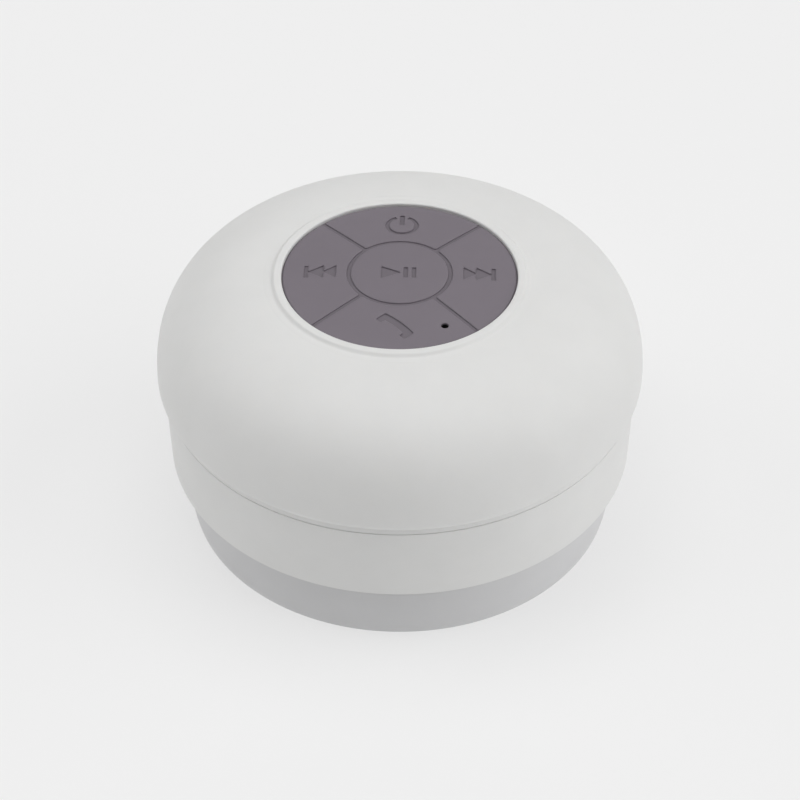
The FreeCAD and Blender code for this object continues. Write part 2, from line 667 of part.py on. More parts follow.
def tether_slot(play):
    """Block where the port cover's tether passes through the wall, with play on every side."""
    half = TETHER_HALF + play
    return block(TETHER_X[0] - play, TETHER_X[1] + play, 36.6, PAST_WALL_Y, PORT_Z - half, PORT_Z + half)


def housing_seal():
    """Round rubber cord in the groove of the lower housing's rim."""
    above_floor = 0.01
    centre_z = LOWER_TOP_Z - SEAL_GROOVE_DEPTH + SEAL_WIRE_R + above_floor
    return Part.makeTorus(SEAL_R, SEAL_WIRE_R, vec(0, 0, centre_z))


def housing_screws():
    return group([screw(polar(HOUSING_SCREW_R, a), HOUSING_TIP_Z, HOUSING_SEAT_Z, HOUSING_SCREW)
                  for a in DIAGONALS])


def band_sleeve():
    """Soft white band round the lower housing, with the window for the port cover and its tether."""
    inner = LOWER_R + FIT
    body = turned_points((inner, BAND_BOTTOM_Z), (BAND_BOTTOM_R, BAND_BOTTOM_Z), (SEAM_R, BAND_TOP_Z),
                         (inner, BAND_TOP_Z))
    rims = [e for z in (BAND_BOTTOM_Z, BAND_TOP_Z) for e in rim_edges_at(body, z, BAND_BOTTOM_R - FIT)]
    body = body.makeFillet(BAND_EDGE, rims)
    width, height, corner = FLAP
    window = (width + 2 * FLAP_GAP, height + 2 * FLAP_GAP, corner + FLAP_GAP)
    half = TETHER_HALF + FLAP_GAP
    bridge = block(TETHER_X[1], TETHER_X[1] + PAST, WELL_END_Y, PAST_WALL_Y, PORT_Z - half, PORT_Z + half)
    return body.cut([port_prism(window, WELL_END_Y, PAST_WALL_Y), tether_slot(FLAP_GAP).fuse(bridge)])


# ---- charging port -------------------------------------------------------------------------------

def port_well():
    """Moulded pocket that joins the housing's wall to the charging socket and keeps water out."""
    width, height, corner = PORT_MOUTH
    size = (width + 2 * WELL_WALL, height + 2 * WELL_WALL, corner + WELL_WALL)
    outside = port_prism(size, WELL_END_Y, PAST_WALL_Y)
    outside = outside.common(cylinder(LOWER_R, 0, LOWER_TOP_Z))
    pocket = port_prism(PORT_MOUTH, USB_MOUTH_Y - 0.3, PAST_WALL_Y)
    socket = port_prism((USB_SIZE[0] + 2 * FIT, USB_SIZE[1] + 2 * FIT, 0.9), WELL_END_Y - PAST, USB_MOUTH_Y)
    return outside.cut([pocket, socket])


def curved_plate(size, inner_r, outer_r):
    """Rounded rectangle cut from a cylinder's wall, facing the charging port's side."""
    wall = ring(inner_r, outer_r, PORT_Z - size[1], PORT_Z + size[1])
    return wall.common(port_prism(size, WELL_END_Y, PAST_WALL_Y))


def port_cover():
    """Silicone flap with the plug that closes the port's mouth and a lip to lift it by."""
    plate = curved_plate(FLAP, FLAP_INNER_R, FLAP_OUTER_R)
    wall, hollow = 1.5, 1.0
    plug = port_prism(PLUG_SIZE, PLUG_END_Y, FLAP_INNER_R + 0.5)
    core = (PLUG_SIZE[0] - 2 * wall, PLUG_SIZE[1] - 2 * wall, 0.6)
    plug = plug.cut(port_prism(core, PLUG_END_Y - PAST, PLUG_END_Y + hollow))
    pull_r, pull_tall, sunk = 0.45, 5.0, 0.1
    x = FLAP[0] / 2 - 1.1
    y = math.sqrt(FLAP_OUTER_R ** 2 - x * x) - sunk
    pull = Part.makeCylinder(pull_r, pull_tall, vec(x, y, PORT_Z - pull_tall / 2))
    return plate.fuse([plug, pull]).removeSplitter()


def port_cover_tether():
    """Anchor end of the flap's tether, pushed through the housing's wall and held by its barb."""
    barb_out, barb_y = 0.8, (36.0, 37.0)
    strap = tether_slot(0).common(cylinder(FLAP_OUTER_R, 0, LOWER_TOP_Z))
    half = TETHER_HALF + barb_out
    barb = block(TETHER_X[0] - barb_out, TETHER_X[1] + barb_out, *barb_y, PORT_Z - half, PORT_Z + half)
    inside = cylinder(LOWER_R - HOUSING_WALL - 2 * FIT, 0, LOWER_TOP_Z)
    return strap.fuse(barb.common(inside)).removeSplitter()


def usb_socket_shell():
    """Folded steel shell of the charging socket, with its two solder tabs."""
    width, height = USB_SIZE
    sheet, back = 0.3, USB_MOUTH_Y - 5.6
    shell = port_prism((width, height, 0.8), back, USB_MOUTH_Y)
    hollow = port_prism((width - 2 * sheet, height - 2 * sheet, 0.5), back + 2 * sheet, USB_MOUTH_Y + PAST)
    tab_x, tab_half, tab_y = 4.0, 0.5, (USB_MOUTH_Y - 4.0, USB_MOUTH_Y - 2.4)
    tabs = [block(x - tab_half, x + tab_half, *tab_y, CHARGE_BOARD_Z[1], PORT_Z) for x in (-tab_x, tab_x)]
    return shell.fuse(tabs).cut(hollow)


def usb_socket_tongue():
    half, y = 1.9, (USB_MOUTH_Y - 5.0, USB_MOUTH_Y - 0.6)
    return block(-half, half, *y, PORT_Z + 0.1, PORT_Z + 0.75)


def charge_board():
    x, y = CHARGE_SCREW
    half = 7.6
    board = block(-half, half, y - 1.5, WELL_END_Y - 0.5, *CHARGE_BOARD_Z)
    through = (CHARGE_BOARD_Z[0] - PAST, CHARGE_BOARD_Z[1] + PAST)
    return board.cut([cylinder(CHARGE_BOARD_SCREW[0] + PLAY, *through, side * x, y) for side in (-1, 1)])


def charge_board_screws():
    x, y = CHARGE_SCREW
    seat = CHARGE_BOARD_Z[1]
    return group([screw(vec(side * x, y), seat - SHORT_SCREW, seat, CHARGE_BOARD_SCREW) for side in (-1, 1)])


# ---- driver --------------------------------------------------------------------------------------

def driver_turned(*points):
    """Turned solid whose heights are counted from the flange's front face."""
    return turned_points(*[(r, DRIVER_Z + z) for r, z in points])


def driver_basket():
    """Pressed steel frame with six windows, a ledge for the spider and a hub for the yoke."""
    wall, ledge_r, ledge_z = 0.8, 12.0, 5.0
    body = driver_turned(
        (BASKET_OPEN_R, 0), (FLANGE_R, 0), (FLANGE_R, FLANGE_THICK), (BASKET_OPEN_R + 0.75, FLANGE_THICK),
        (14.6, ledge_z + wall), (ledge_r + wall, ledge_z + wall), (ledge_r + wall, HUB_Z),
        (YOKE_BORE_R, HUB_Z), (YOKE_BORE_R, HUB_Z - wall), (ledge_r, HUB_Z - wall), (ledge_r, ledge_z),
        (14.2, ledge_z), (BASKET_OPEN_R, 0.6))
    count, half, low, high = 6, 3.6, DRIVER_Z + 1.9, DRIVER_Z + 4.6
    windows = []
    for i in range(count):
        window = block(ledge_r + 2.5, BASKET_OPEN_R + 0.4, -half, half, low, high)
        window.rotate(vec(0, 0, 0), vec(0, 0, 1), (i + 0.5) * 360 / count)
        windows.append(window)
    return body.cut(windows + driver_screw_holes())


def driver_screw_holes():
    through = (GASKET_Z - PAST, DRIVER_Z + FLANGE_THICK + PAST)
    return bores(DRIVER_SCREW[0] + 0.2, *through, DRIVER_SCREW_R, DIAGONALS)


def driver_gasket():
    return ring(BASKET_OPEN_R, FLANGE_R, GASKET_Z, DRIVER_Z).cut(driver_screw_holes())


def driver_screws():
    seat = DRIVER_Z + FLANGE_THICK
    return group([screw(polar(DRIVER_SCREW_R, a), seat - SHORT_SCREW, seat, DRIVER_SCREW) for a in DIAGONALS])


def driver_tags():
    """Two solder tags on an insulating strip at the edge of the basket."""
    base = DRIVER_Z + FLANGE_THICK
    strip_z, half_thick, half_wide = base + 0.8, 0.4, 0.6
    made = [block(TAG_X - 1.3, TAG_X + 1.2, -2 * LEAD_PITCH, 2 * LEAD_PITCH, base, strip_z)]
    for y in (-LEAD_PITCH, LEAD_PITCH):
        across = (y - half_wide, y + half_wide)
        upright = block(TAG_X - half_thick, TAG_X + half_thick, *across, strip_z, TAG_TOP_Z)
        foot = block(TAG_X - half_thick, TAG_X + 1.0, *across, strip_z, strip_z + 0.3)
        made.append(upright.fuse(foot))
    return group(made)


def yoke_z(height=0.0):
    return DRIVER_Z + HUB_Z + height


def driver_yoke():
    """Steel cup that carries the magnet and closes its field."""
    cup = cylinder(YOKE_R, yoke_z(), yoke_z(YOKE_TALL))
    cup = cup.cut(cylinder(YOKE_BORE_R, yoke_z(-PAST), yoke_z(YOKE_TALL - YOKE_ROOF)))
    return cup.makeChamfer(0.4, flat_edges_at(cup, yoke_z(YOKE_TALL)))


def driver_magnet():
    return cylinder(POLE_R - 0.3, yoke_z(POLE_THICK), yoke_z(YOKE_TALL - YOKE_ROOF))


def driver_pole_plate():
    return cylinder(POLE_R, yoke_z(), yoke_z(POLE_THICK))


def voice_coil():
    """Paper former with the copper winding round its upper end."""
    outer, winding, overlap = COIL_IN_R + FORMER_WALL, 0.38, 0.02
    former = ring(COIL_IN_R, outer, DRIVER_Z + CAP_Z, yoke_z(2.7))
    return former.fuse(ring(outer - overlap, outer + winding, yoke_z(-0.5), yoke_z(2.5)))


def driver_cone():
    sheet, neck, edge = 0.35, COIL_IN_R + FORMER_WALL, CONE_EDGE_Z
    return driver_turned((neck, CAP_Z + 0.7), (neck, CAP_Z + 0.3), (CONE_R, edge), (CONE_R + 1.0, edge),
                         (CONE_R + 1.0, edge + sheet), (CONE_R + 0.1, edge + sheet))


def dust_cap():
    """Spherical cap over the voice coil, bulging towards the grille."""
    rim, rim_z, rise, sheet = COIL_IN_R, DRIVER_Z + CAP_Z, 1.6, 0.3
    radius = (rim ** 2 + rise ** 2) / (2 * rise)
    centre = vec(0, 0, rim_z - rise + radius)
    ball = Part.makeSphere(radius, centre).cut(Part.makeSphere(radius - sheet, centre))
    return ball.common(cylinder(rim, rim_z - rise - PAST, rim_z))


def driver_surround():
    """Half-roll of foam rubber between the cone and the basket."""
    inner, outer, z, sheet = CONE_R + 1.0, BASKET_OPEN_R - 1.2, DRIVER_Z + CONE_EDGE_Z, 0.3
    middle, sag = (inner + outer) / 2, (outer - inner) * 0.4
    lower = arc((inner, z), (middle, z - sag), (outer, z))
    upper = arc((outer, z + sheet), (middle, z - sag + sheet), (inner, z + sheet))
    rim_r = BASKET_OPEN_R - 0.3
    rim = lines((outer, z), (rim_r, z), (rim_r - 0.3, z + sheet), (outer, z + sheet))
    return turned([lower] + rim + [upper] + lines((inner, z + sheet), (inner, z)))


def driver_spider():
    """Corrugated cloth disc that centres the voice coil under the basket's ledge."""
    inner, outer, z, sheet, waves = COIL_IN_R + FORMER_WALL, 12.3, 4.7, 0.2, 6
    step = (outer - inner) / waves
    low = [(inner + step * i, z - (0.35 if i % 2 else 0.0)) for i in range(waves + 1)]
    low += [(outer + 0.3, 4.8), (outer + 1.2, 4.8)]
    high = [(r, h + sheet) for r, h in reversed(low)]
    return driver_turned(*low, *high)


def waterproof_mesh():
    return cylinder(MESH_R, FLOOR_Z[1], FLOOR_Z[1] + 0.2)


# ---- battery -------------------------------------------------------------------------------------

def battery():
    x, y, height = BATTERY
    body = block(-x / 2, x / 2, -y / 2, y / 2, BATTERY_Z, BATTERY_Z + height)
    return body.makeFillet(1.6, edges_along(body, vec(0, 1, 0)))


def battery_tape():
    return cylinder(YOKE_R - 0.5, yoke_z(YOKE_TALL), BATTERY_Z)


# ---- suction cup ---------------------------------------------------------------------------------

def cup_carrier():
    """Hard disc that the suction cup grips. Posts hold it off the housing, so that sound gets out."""
    rim = cylinder(CARRIER_RIM_R, CARRIER_Z, CARRIER_RIM_Z)
    body = cylinder(CARRIER_TOP_R, CARRIER_Z, CUP_TOP_Z).fuse(rim)
    posts = bores(3.2, CUP_TOP_Z - PAST, FLOOR_Z[0], CARRIER_POST_R, CARRIER_ANGLES)
    body = body.fuse(posts)
    cuts = bores(CARRIER_SCREW[1] + 0.3, CARRIER_Z - PAST, CARRIER_SEAT_Z, CARRIER_POST_R, CARRIER_ANGLES)
    cuts += bores(CARRIER_SCREW[0] + PLAY, CARRIER_Z, FLOOR_Z[0] + PAST, CARRIER_POST_R, CARRIER_ANGLES)
    dish_r, deep = 24.0, 0.9
    ball_r = (dish_r ** 2 + deep ** 2) / (2 * deep)
    dish = Part.makeSphere(ball_r, vec(0, 0, CUP_TOP_Z - deep + ball_r))
    return body.cut(cuts + [dish.common(cylinder(dish_r, CARRIER_Z, CUP_TOP_Z))]).removeSplitter()


def carrier_screws():
    return group([screw(polar(CARRIER_POST_R, a), CARRIER_TIP_Z, CARRIER_SEAT_Z, CARRIER_SCREW)
                  for a in CARRIER_ANGLES])


def suction_cup():
    """Grey silicone cup: a wall that grips the carrier's rim, and a hollow underside with two grip rings."""
    lip_in, lip_out = CUP_LIP_R
    centre, edge = (0, CUP_CEILING_Z), (CUP_CEILING_R, CUP_CEILING_Z)
    ceiling = Part.BezierCurve()
    ceiling.setPoles([vec(r, 0, z) for r, z in ((lip_in, 0), (35.2, 3.4), (31.5, CUP_CEILING_Z), edge)])
    edges = lines(centre, (0, CARRIER_Z), (CARRIER_RIM_R, CARRIER_Z), (CARRIER_RIM_R, CARRIER_RIM_Z),
                  (CARRIER_TOP_R, CARRIER_RIM_Z), (CARRIER_TOP_R, CUP_TOP_Z), (CUP_TOP_R, CUP_TOP_Z),
                  (CUP_R, CUP_SKIRT_Z), (lip_out, 0), (lip_in, 0))
    body = turned(edges + [ceiling.toShape(), line(edge, centre)])
    body = body.makeFillet(CUP_EDGE, rim_edges_at(body, CUP_TOP_Z, CUP_TOP_R - FIT))
    half, deep = 0.4, 0.5
    grip_rings = [ring(r - half, r + half, CUP_CEILING_Z - deep, CUP_CEILING_Z + FIT) for r in GRIP_RINGS]
    return body.fuse(grip_rings).removeSplitter()


# ---- build ---------------------------------------------------------------------------------------

NODES = {
    "dome_cover": dome_cover,
    "upper_housing": upper_housing,
    "keypad_web": keypad_web,
    "power_key": power_key,
    "previous_key": previous_key,
    "next_key": next_key,
    "call_key": call_key,
    "play_key": play_key,
    "power_plunger": lambda: plunger("power"),
    "previous_plunger": lambda: plunger("previous"),
    "next_plunger": lambda: plunger("next"),
    "call_plunger": lambda: plunger("call"),
    "play_plunger": lambda: plunger("play"),
    "switch_bodies": switch_bodies,
    "main_board": main_board,
    "board_screws": board_screws,
    "board_chips": board_chips,
    "microphone": microphone,
    "microphone_boot": microphone_boot,
    "lead_plugs": lead_plugs,
    "battery_lead_positive": lambda: battery_lead(1),
    "battery_lead_negative": lambda: battery_lead(-1),
    "speaker_leads": speaker_leads,
    "charge_leads": charge_leads,
    "lower_housing": lower_housing,
    "housing_seal": housing_seal,
    "housing_screws": housing_screws,
    "band_sleeve": band_sleeve,
    "port_well": port_well,
    "port_cover": port_cover,
    "port_cover_tether": port_cover_tether,
    "usb_socket_shell": usb_socket_shell,
    "usb_socket_tongue": usb_socket_tongue,
    "charge_board": charge_board,
    "charge_board_screws": charge_board_screws,
    "driver_basket": driver_basket,
    "driver_gasket": driver_gasket,
    "driver_screws": driver_screws,
    "driver_tags": driver_tags,
    "driver_yoke": driver_yoke,
    "driver_magnet": driver_magnet,
    "driver_pole_plate": driver_pole_plate,
    "voice_coil": voice_coil,
    "driver_cone": driver_cone,
    "dust_cap": dust_cap,
    "driver_surround": driver_surround,
    "driver_spider": driver_spider,
    "waterproof_mesh": waterproof_mesh,
    "battery": battery,
    "battery_tape": battery_tape,
    "cup_carrier": cup_carrier,
    "carrier_screws": carrier_screws,
    "suction_cup": suction_cup,
}


def main():
    os.makedirs(PARTS, exist_ok=True)
    for name, make in NODES.items():
        shape = make()
        bad = [s for s in shape.Solids if not s.isValid() or s.Volume <= 0]
        note = "  NOT VALID" if bad else ""
        print(f"{name:24s} solids {len(shape.Solids):2d}  volume {shape.Volume:10.1f} mm3{note}")
        shape.exportStep(f"{PARTS}/{name}.step")


main()
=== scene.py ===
"""Looks of the shower speaker: white silicone dome and band, dark grey keypad, light grey suction cup.

Metres in the row frame. Outlines of the keypad are drawn in millimetres and scaled by MM.
"""
import json
import math

import bmesh
import bpy
from mathutils import Matrix, Vector


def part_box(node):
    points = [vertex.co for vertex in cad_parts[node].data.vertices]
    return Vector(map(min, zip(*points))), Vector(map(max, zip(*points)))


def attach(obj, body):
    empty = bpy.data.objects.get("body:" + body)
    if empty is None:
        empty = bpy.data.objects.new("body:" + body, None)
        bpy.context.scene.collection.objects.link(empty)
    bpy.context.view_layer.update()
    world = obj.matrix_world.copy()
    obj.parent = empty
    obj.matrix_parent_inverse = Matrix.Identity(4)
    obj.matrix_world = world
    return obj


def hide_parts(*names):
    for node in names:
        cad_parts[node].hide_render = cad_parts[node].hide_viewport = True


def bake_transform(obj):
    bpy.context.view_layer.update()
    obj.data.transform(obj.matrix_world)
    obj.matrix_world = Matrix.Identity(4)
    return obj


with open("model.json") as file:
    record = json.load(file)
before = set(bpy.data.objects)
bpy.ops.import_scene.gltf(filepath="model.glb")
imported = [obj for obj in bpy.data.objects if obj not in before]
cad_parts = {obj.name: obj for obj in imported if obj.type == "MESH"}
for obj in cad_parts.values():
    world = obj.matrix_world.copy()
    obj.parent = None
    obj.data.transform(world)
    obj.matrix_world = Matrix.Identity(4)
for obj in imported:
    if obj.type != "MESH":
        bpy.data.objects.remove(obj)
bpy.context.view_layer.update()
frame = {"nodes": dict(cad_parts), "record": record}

MM = 0.001
ROOT = "housing"


# ---- node materials ------------------------------------------------------------------------------

class Nodes:
    """Small helper that builds one material's node tree."""

    def __init__(self, name, base, roughness=0.5, metallic=0.0, **constant):
        self.material = bpy.data.materials.new(name)
        self.material.use_nodes = True
        self.tree = self.material.node_tree
        self.shader = self.tree.nodes["Principled BSDF"]
        self.shader.inputs["Base Color"].default_value = (*base, 1)
        self.shader.inputs["Roughness"].default_value = roughness
        self.shader.inputs["Metallic"].default_value = metallic
        for socket, value in constant.items():
            self.shader.inputs[socket.replace("_", " ")].default_value = value
        self.place = self.add("ShaderNodeTexCoord").outputs["Object"]

    def add(self, kind, **inputs):
        node = self.tree.nodes.new(kind)
        for name, value in inputs.items():
            socket = node.inputs[name.replace("_", " ")]
            if isinstance(value, bpy.types.NodeSocket):
                self.tree.links.new(value, socket)
            else:
                socket.default_value = value
        return node

    def noise(self, size, detail=3.0, rough=0.55):
        """Noise whose features measure about size metres."""
        node = self.add("ShaderNodeTexNoise", Vector=self.place, Scale=1 / size)
        node.inputs["Detail"].default_value = detail
        node.inputs["Roughness"].default_value = rough
        return node.outputs["Fac"]

    def cells(self, size):
        """Distance to the middle of cells that measure about size metres."""
        return self.add("ShaderNodeTexVoronoi", Vector=self.place, Scale=1 / size).outputs["Distance"]

    def bands(self, size, axis):
        """Straight waves across an axis, whose length goes with size."""
        node = self.add("ShaderNodeTexWave", Vector=self.place, Scale=1 / size)
        node.bands_direction = axis
        return node.outputs["Fac"]

    def height_over_dome(self, bend):
        """Height of a point, plus what a shallow dome about Z falls by at that distance from the axis."""
        flat = self.add("ShaderNodeVectorMath", Vector=self.place)
        flat.operation = "MULTIPLY"
        flat.inputs[1].default_value = (1, 1, 0)
        square = self.tree.nodes.new("ShaderNodeVectorMath")
        square.operation = "DOT_PRODUCT"
        for socket in square.inputs[:2]:
            self.tree.links.new(flat.outputs[0], socket)
        total = self.add("ShaderNodeMath", Value=square.outputs["Value"])
        total.operation = "MULTIPLY_ADD"
        total.inputs[1].default_value = bend
        self.tree.links.new(self.upward(self.place), total.inputs[2])
        return total.outputs[0]

    def upward(self, vector):
        """Z of a vector."""
        return self.add("ShaderNodeSeparateXYZ", Vector=vector).outputs["Z"]

    def spread(self, value, low, high, start=0.3, end=0.7):
        """Maps a 0 to 1 value between low and high."""
        node = self.add("ShaderNodeMapRange", Value=value)
        for name, number in (("From Min", start), ("From Max", end), ("To Min", low), ("To Max", high)):
            node.inputs[name].default_value = number
        return node.outputs["Result"]

    def blend_colours(self, amount, first, second):
        node = self.tree.nodes.new("ShaderNodeMix")
        node.data_type = "RGBA"
        self.tree.links.new(amount, node.inputs["Factor"])
        for socket, colour in ((node.inputs[6], first), (node.inputs[7], second)):
            if isinstance(colour, bpy.types.NodeSocket):
                self.tree.links.new(colour, socket)
            else:
                socket.default_value = (*colour, 1)
        return node.outputs[2]

    def colour(self, value):
        self.tree.links.new(value, self.shader.inputs["Base Color"])

    def roughness(self, value):
        self.tree.links.new(value, self.shader.inputs["Roughness"])

    def bump(self, *layers):
        """Stacks bump layers, each (height, depth in metres)."""
        normal = None
        for height, depth in layers:
            node = self.add("ShaderNodeBump", Height=height, Distance=depth, Strength=1.0)
            if normal is not None:
                self.tree.links.new(normal, node.inputs["Normal"])
            normal = node.outputs["Normal"]
        self.tree.links.new(normal, self.shader.inputs["Normal"])


def shade(colour, factor):
    return tuple(c * factor for c in colour)


def silicone(name, colour, rough, grain=0.00011, depth=0.000004, glow=0.0, specks=0.02):
    """Moulded silicone: a spark-eroded grain, a slow mottle in gloss and tone, and a little dust."""
    n = Nodes(name, colour, rough, Specular_IOR_Level=0.32, Sheen_Weight=0.06, Sheen_Roughness=0.5,
              Subsurface_Weight=glow, Subsurface_Scale=0.0012, Subsurface_Radius=(1.0, 0.9, 0.8))
    mottle = n.noise(0.009, 4)
    tone = n.blend_colours(n.spread(mottle, 0, 1), shade(colour, 0.985), shade(colour, 1.012))
    dust = n.spread(n.noise(0.0007, 2, 0.8), 0, specks, 0.66, 0.74)
    n.colour(n.blend_colours(dust, tone, (0.75, 0.74, 0.72)))
    n.roughness(n.spread(n.noise(0.004, 5), rough - 0.05, rough + 0.05))
    n.bump((n.noise(0.012, 2), 0.00002), (n.noise(grain, 3, 0.6), depth))
    return n.material


def key_silicone(colour):
    """The keys' silicone: painted light on steep walls, painted shade in pockets, painted black in the hole.
    """
    n = Nodes("key_silicone", colour, 0.56, Specular_IOR_Level=0.32, Sheen_Weight=0.06, Sheen_Roughness=0.5)
    mottle = n.noise(0.009, 4)
    tone = n.blend_colours(n.spread(mottle, 0, 1), shade(colour, 0.98), shade(colour, 1.015))
    # painted light: steep walls get a lighter tone than the flat tops
    slope = n.upward(n.add("ShaderNodeNewGeometry").outputs["Normal"])
    tone = n.blend_colours(n.spread(slope, 1, 0, *STEEP), tone, shade(colour, PAINTED_WALL_LIGHT))
    # painted shade: by height below the keypad's dome, icon and groove floors go darker and the microphone
    # hole nearly black
    height = n.height_over_dome(1 / (2 * KEYPAD_BALL_R))
    for deep, shallow, share in PAINTED_SHADE_DEPTHS:
        below = n.spread(height, 1, 0, KEY_TOP_Z - deep * MM, KEY_TOP_Z - shallow * MM)
        tone = n.blend_colours(below, tone, shade(colour, share))
    n.colour(tone)
    n.roughness(n.spread(n.noise(0.004, 5), 0.51, 0.61))
    n.bump((n.noise(0.012, 2), 0.00002), (n.noise(0.00013, 3, 0.6), 0.000005))
    return n.material


def moulded(name, colour, rough=0.45, grain=0.00016, depth=0.000006):
    """Hard moulded plastic with a fine eroded grain."""
    n = Nodes(name, colour, rough, Specular_IOR_Level=0.5)
    n.colour(n.blend_colours(n.spread(n.noise(0.006), 0, 1), shade(colour, 0.96), shade(colour, 1.02)))
    n.roughness(n.spread(n.noise(0.003, 4), rough - 0.07, rough + 0.07))
    n.bump((n.noise(grain, 3), depth))
    return n.material


def plated(name, colour, rough=0.28, streak=0.0004, axis="X"):
    """Plated or drawn metal with fine streaks and dull spots."""
    n = Nodes(name, colour, rough, 1.0)
    n.colour(n.blend_colours(n.spread(n.noise(0.0015, 5), 0, 1), shade(colour, 0.82), shade(colour, 1.05)))
    n.roughness(n.spread(n.noise(0.0008, 6), rough - 0.08, rough + 0.16))
    n.bump((n.bands(streak, axis), 0.000004), (n.noise(0.0001, 2), 0.000002))
    return n.material


def soft_foam(name, colour, cell=0.0003):
    n = Nodes(name, colour, 0.85, Specular_IOR_Level=0.2)
    pores = n.cells(cell)
    n.colour(n.blend_colours(n.spread(pores, 0, 1, 0.1, 0.6), shade(colour, 0.5), shade(colour, 1.4)))
    n.bump((pores, 0.00005))
    return n.material


def woven(name, light, dark, pitch):
    """Plain weave: two crossed sets of bands."""
    n = Nodes(name, light, 0.75)
    both = n.add("ShaderNodeMath", Value=n.bands(pitch, "X"))
    both.operation = "MULTIPLY"
    n.tree.links.new(n.bands(pitch, "Y"), both.inputs[1])
    n.colour(n.blend_colours(n.spread(both.outputs[0], 0, 1, 0.1, 0.6), dark, light))
    n.bump((both.outputs[0], 0.00004))
    return n.material


def circuit_board():
    """Green solder mask over faint copper runs and pads."""
    mask, track, pad = (0.012, 0.11, 0.04), (0.03, 0.2, 0.075), (0.62, 0.52, 0.32)
    n = Nodes("circuit_board", mask, 0.3, Coat_Weight=0.4, Coat_Roughness=0.2)
    runs = n.spread(n.bands(0.0016, "DIAGONAL"), 0, 1, 0.72, 0.78)
    spots = n.spread(n.cells(0.0021), 1, 0, 0.1, 0.14)
    n.colour(n.blend_colours(spots, n.blend_colours(runs, mask, track), pad))
    n.bump((runs, 0.00003), (n.noise(0.0002, 3), 0.00001))
    return n.material


def enamelled_winding():
    n = Nodes("copper_winding", (0.62, 0.26, 0.11), 0.3, 1.0, Coat_Weight=0.6, Coat_Roughness=0.15)
    turns = n.bands(0.0002, "Z")
    n.colour(n.blend_colours(turns, (0.28, 0.09, 0.03), (0.72, 0.32, 0.14)))
    n.bump((turns, 0.00005))
    return n.material


def foil_pouch():
    n = Nodes("foil_pouch", (0.72, 0.73, 0.75), 0.35, 0.85)
    n.colour(n.blend_colours(n.spread(n.noise(0.004), 0, 1), (0.6, 0.61, 0.63), (0.78, 0.79, 0.8)))
    n.roughness(n.spread(n.noise(0.002, 4), 0.26, 0.46))
    n.bump((n.cells(0.006), 0.00012), (n.noise(0.0009, 4), 0.00003))
    return n.material


KEYPAD_R = 20.15              # millimetres, as the keypad's other sizes below
KEYPAD_RISE = 0.7             # how far the keypad's middle stands above its rim
KEYPAD_BALL_R = (KEYPAD_R ** 2 + KEYPAD_RISE ** 2) / (2 * KEYPAD_RISE) * MM
KEY_TOP_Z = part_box("play_key")[1].z
STEEP = (0.55, 0.98)          # upward part of the normal where a surface counts as a wall, and as flat, for the painted wall light
PAINTED_WALL_LIGHT = 1.15            # painted light on the keypad's walls: their tone as a share of its colour
PAINTED_SHADE_DEPTHS = (                # millimetres below the dome: wholly in, just in, painted shade as a share of the colour
    (0.24, 0.1, 0.86),        # painted shade on the floor of an icon or a groove
    (0.5, 0.4, 0.03),         # painted black shade down the microphone hole
)
WHITE = (0.80, 0.80, 0.79)
KEY_GREY = (0.202, 0.179, 0.205)
CUP_GREY = (0.675, 0.675, 0.682)
HOUSING_WHITE = (0.70, 0.70, 0.69)

LOOKS = {
    "white_silicone": silicone("white_silicone", WHITE, 0.55, glow=0.08),
    "grey_key_silicone": key_silicone(KEY_GREY),
    "grey_cup_silicone": silicone("cup_silicone", CUP_GREY, 0.42, 0.0002, 0.000003, glow=0.05),
    "white_abs": moulded("white_housing_plastic", HOUSING_WHITE),
    "black_plastic": moulded("black_plastic", (0.025, 0.025, 0.027), 0.4),
    "circuit_board": circuit_board(),
    "zinc_steel": plated("zinc_screw", (0.62, 0.61, 0.57), 0.3),
    "chip_epoxy": moulded("chip_epoxy", (0.03, 0.03, 0.032), 0.55, 0.00008),
    "microphone_can": plated("microphone_can", (0.72, 0.7, 0.64), 0.25),
    "black_rubber": silicone("black_rubber", (0.028, 0.028, 0.03), 0.6),
    "connector_nylon": moulded("connector_nylon", (0.78, 0.75, 0.66), 0.5),
    "red_wire": silicone("red_wire", (0.5, 0.025, 0.02), 0.35),
    "black_wire": silicone("black_wire", (0.022, 0.022, 0.024), 0.35),
    "socket_steel": plated("socket_steel", (0.68, 0.67, 0.64), 0.24, 0.0003, "Y"),
    "basket_steel": moulded("coated_basket", (0.035, 0.035, 0.037), 0.4, 0.0003, 0.00001),
    "black_foam": soft_foam("black_foam", (0.03, 0.03, 0.032)),
    "brass_tags": plated("tinned_brass", (0.72, 0.66, 0.5), 0.3),
    "plated_steel": plated("plated_yoke", (0.6, 0.6, 0.61), 0.26, 0.0005, "Z"),
    "magnet": plated("magnet_plating", (0.42, 0.42, 0.43), 0.32),
    "copper_coil": enamelled_winding(),
    "cone_film": moulded("cone_film", (0.04, 0.04, 0.043), 0.35, 0.0008, 0.00002),
    "spider_cloth": woven("spider_cloth", (0.62, 0.44, 0.22), (0.35, 0.22, 0.1), 0.0009),
    "mesh_cloth": woven("acoustic_mesh", (0.09, 0.09, 0.095), (0.01, 0.01, 0.01), 0.0006),
    "battery_pouch": foil_pouch(),
}


def paint(obj, slot):
    obj.data.materials.clear()
    obj.data.materials.append(LOOKS[slot])


SLOT_OF = {part["node"]: part["material_slot"] for part in frame["record"]["subparts"]}
for node, cad_object in frame["nodes"].items():
    paint(cad_object, SLOT_OF[node])


# ---- mesh helpers --------------------------------------------------------------------------------

def finish_piece(obj, body, node, *more_nodes):
    """Puts a visual piece in the place of its CAD nodes, which it hides: it takes the node's material slot,
    and the given body if any.
    """
    slot = SLOT_OF[node]
    paint(obj, slot)
    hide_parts(node, *more_nodes)
    if body:
        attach(obj, body)
    return obj


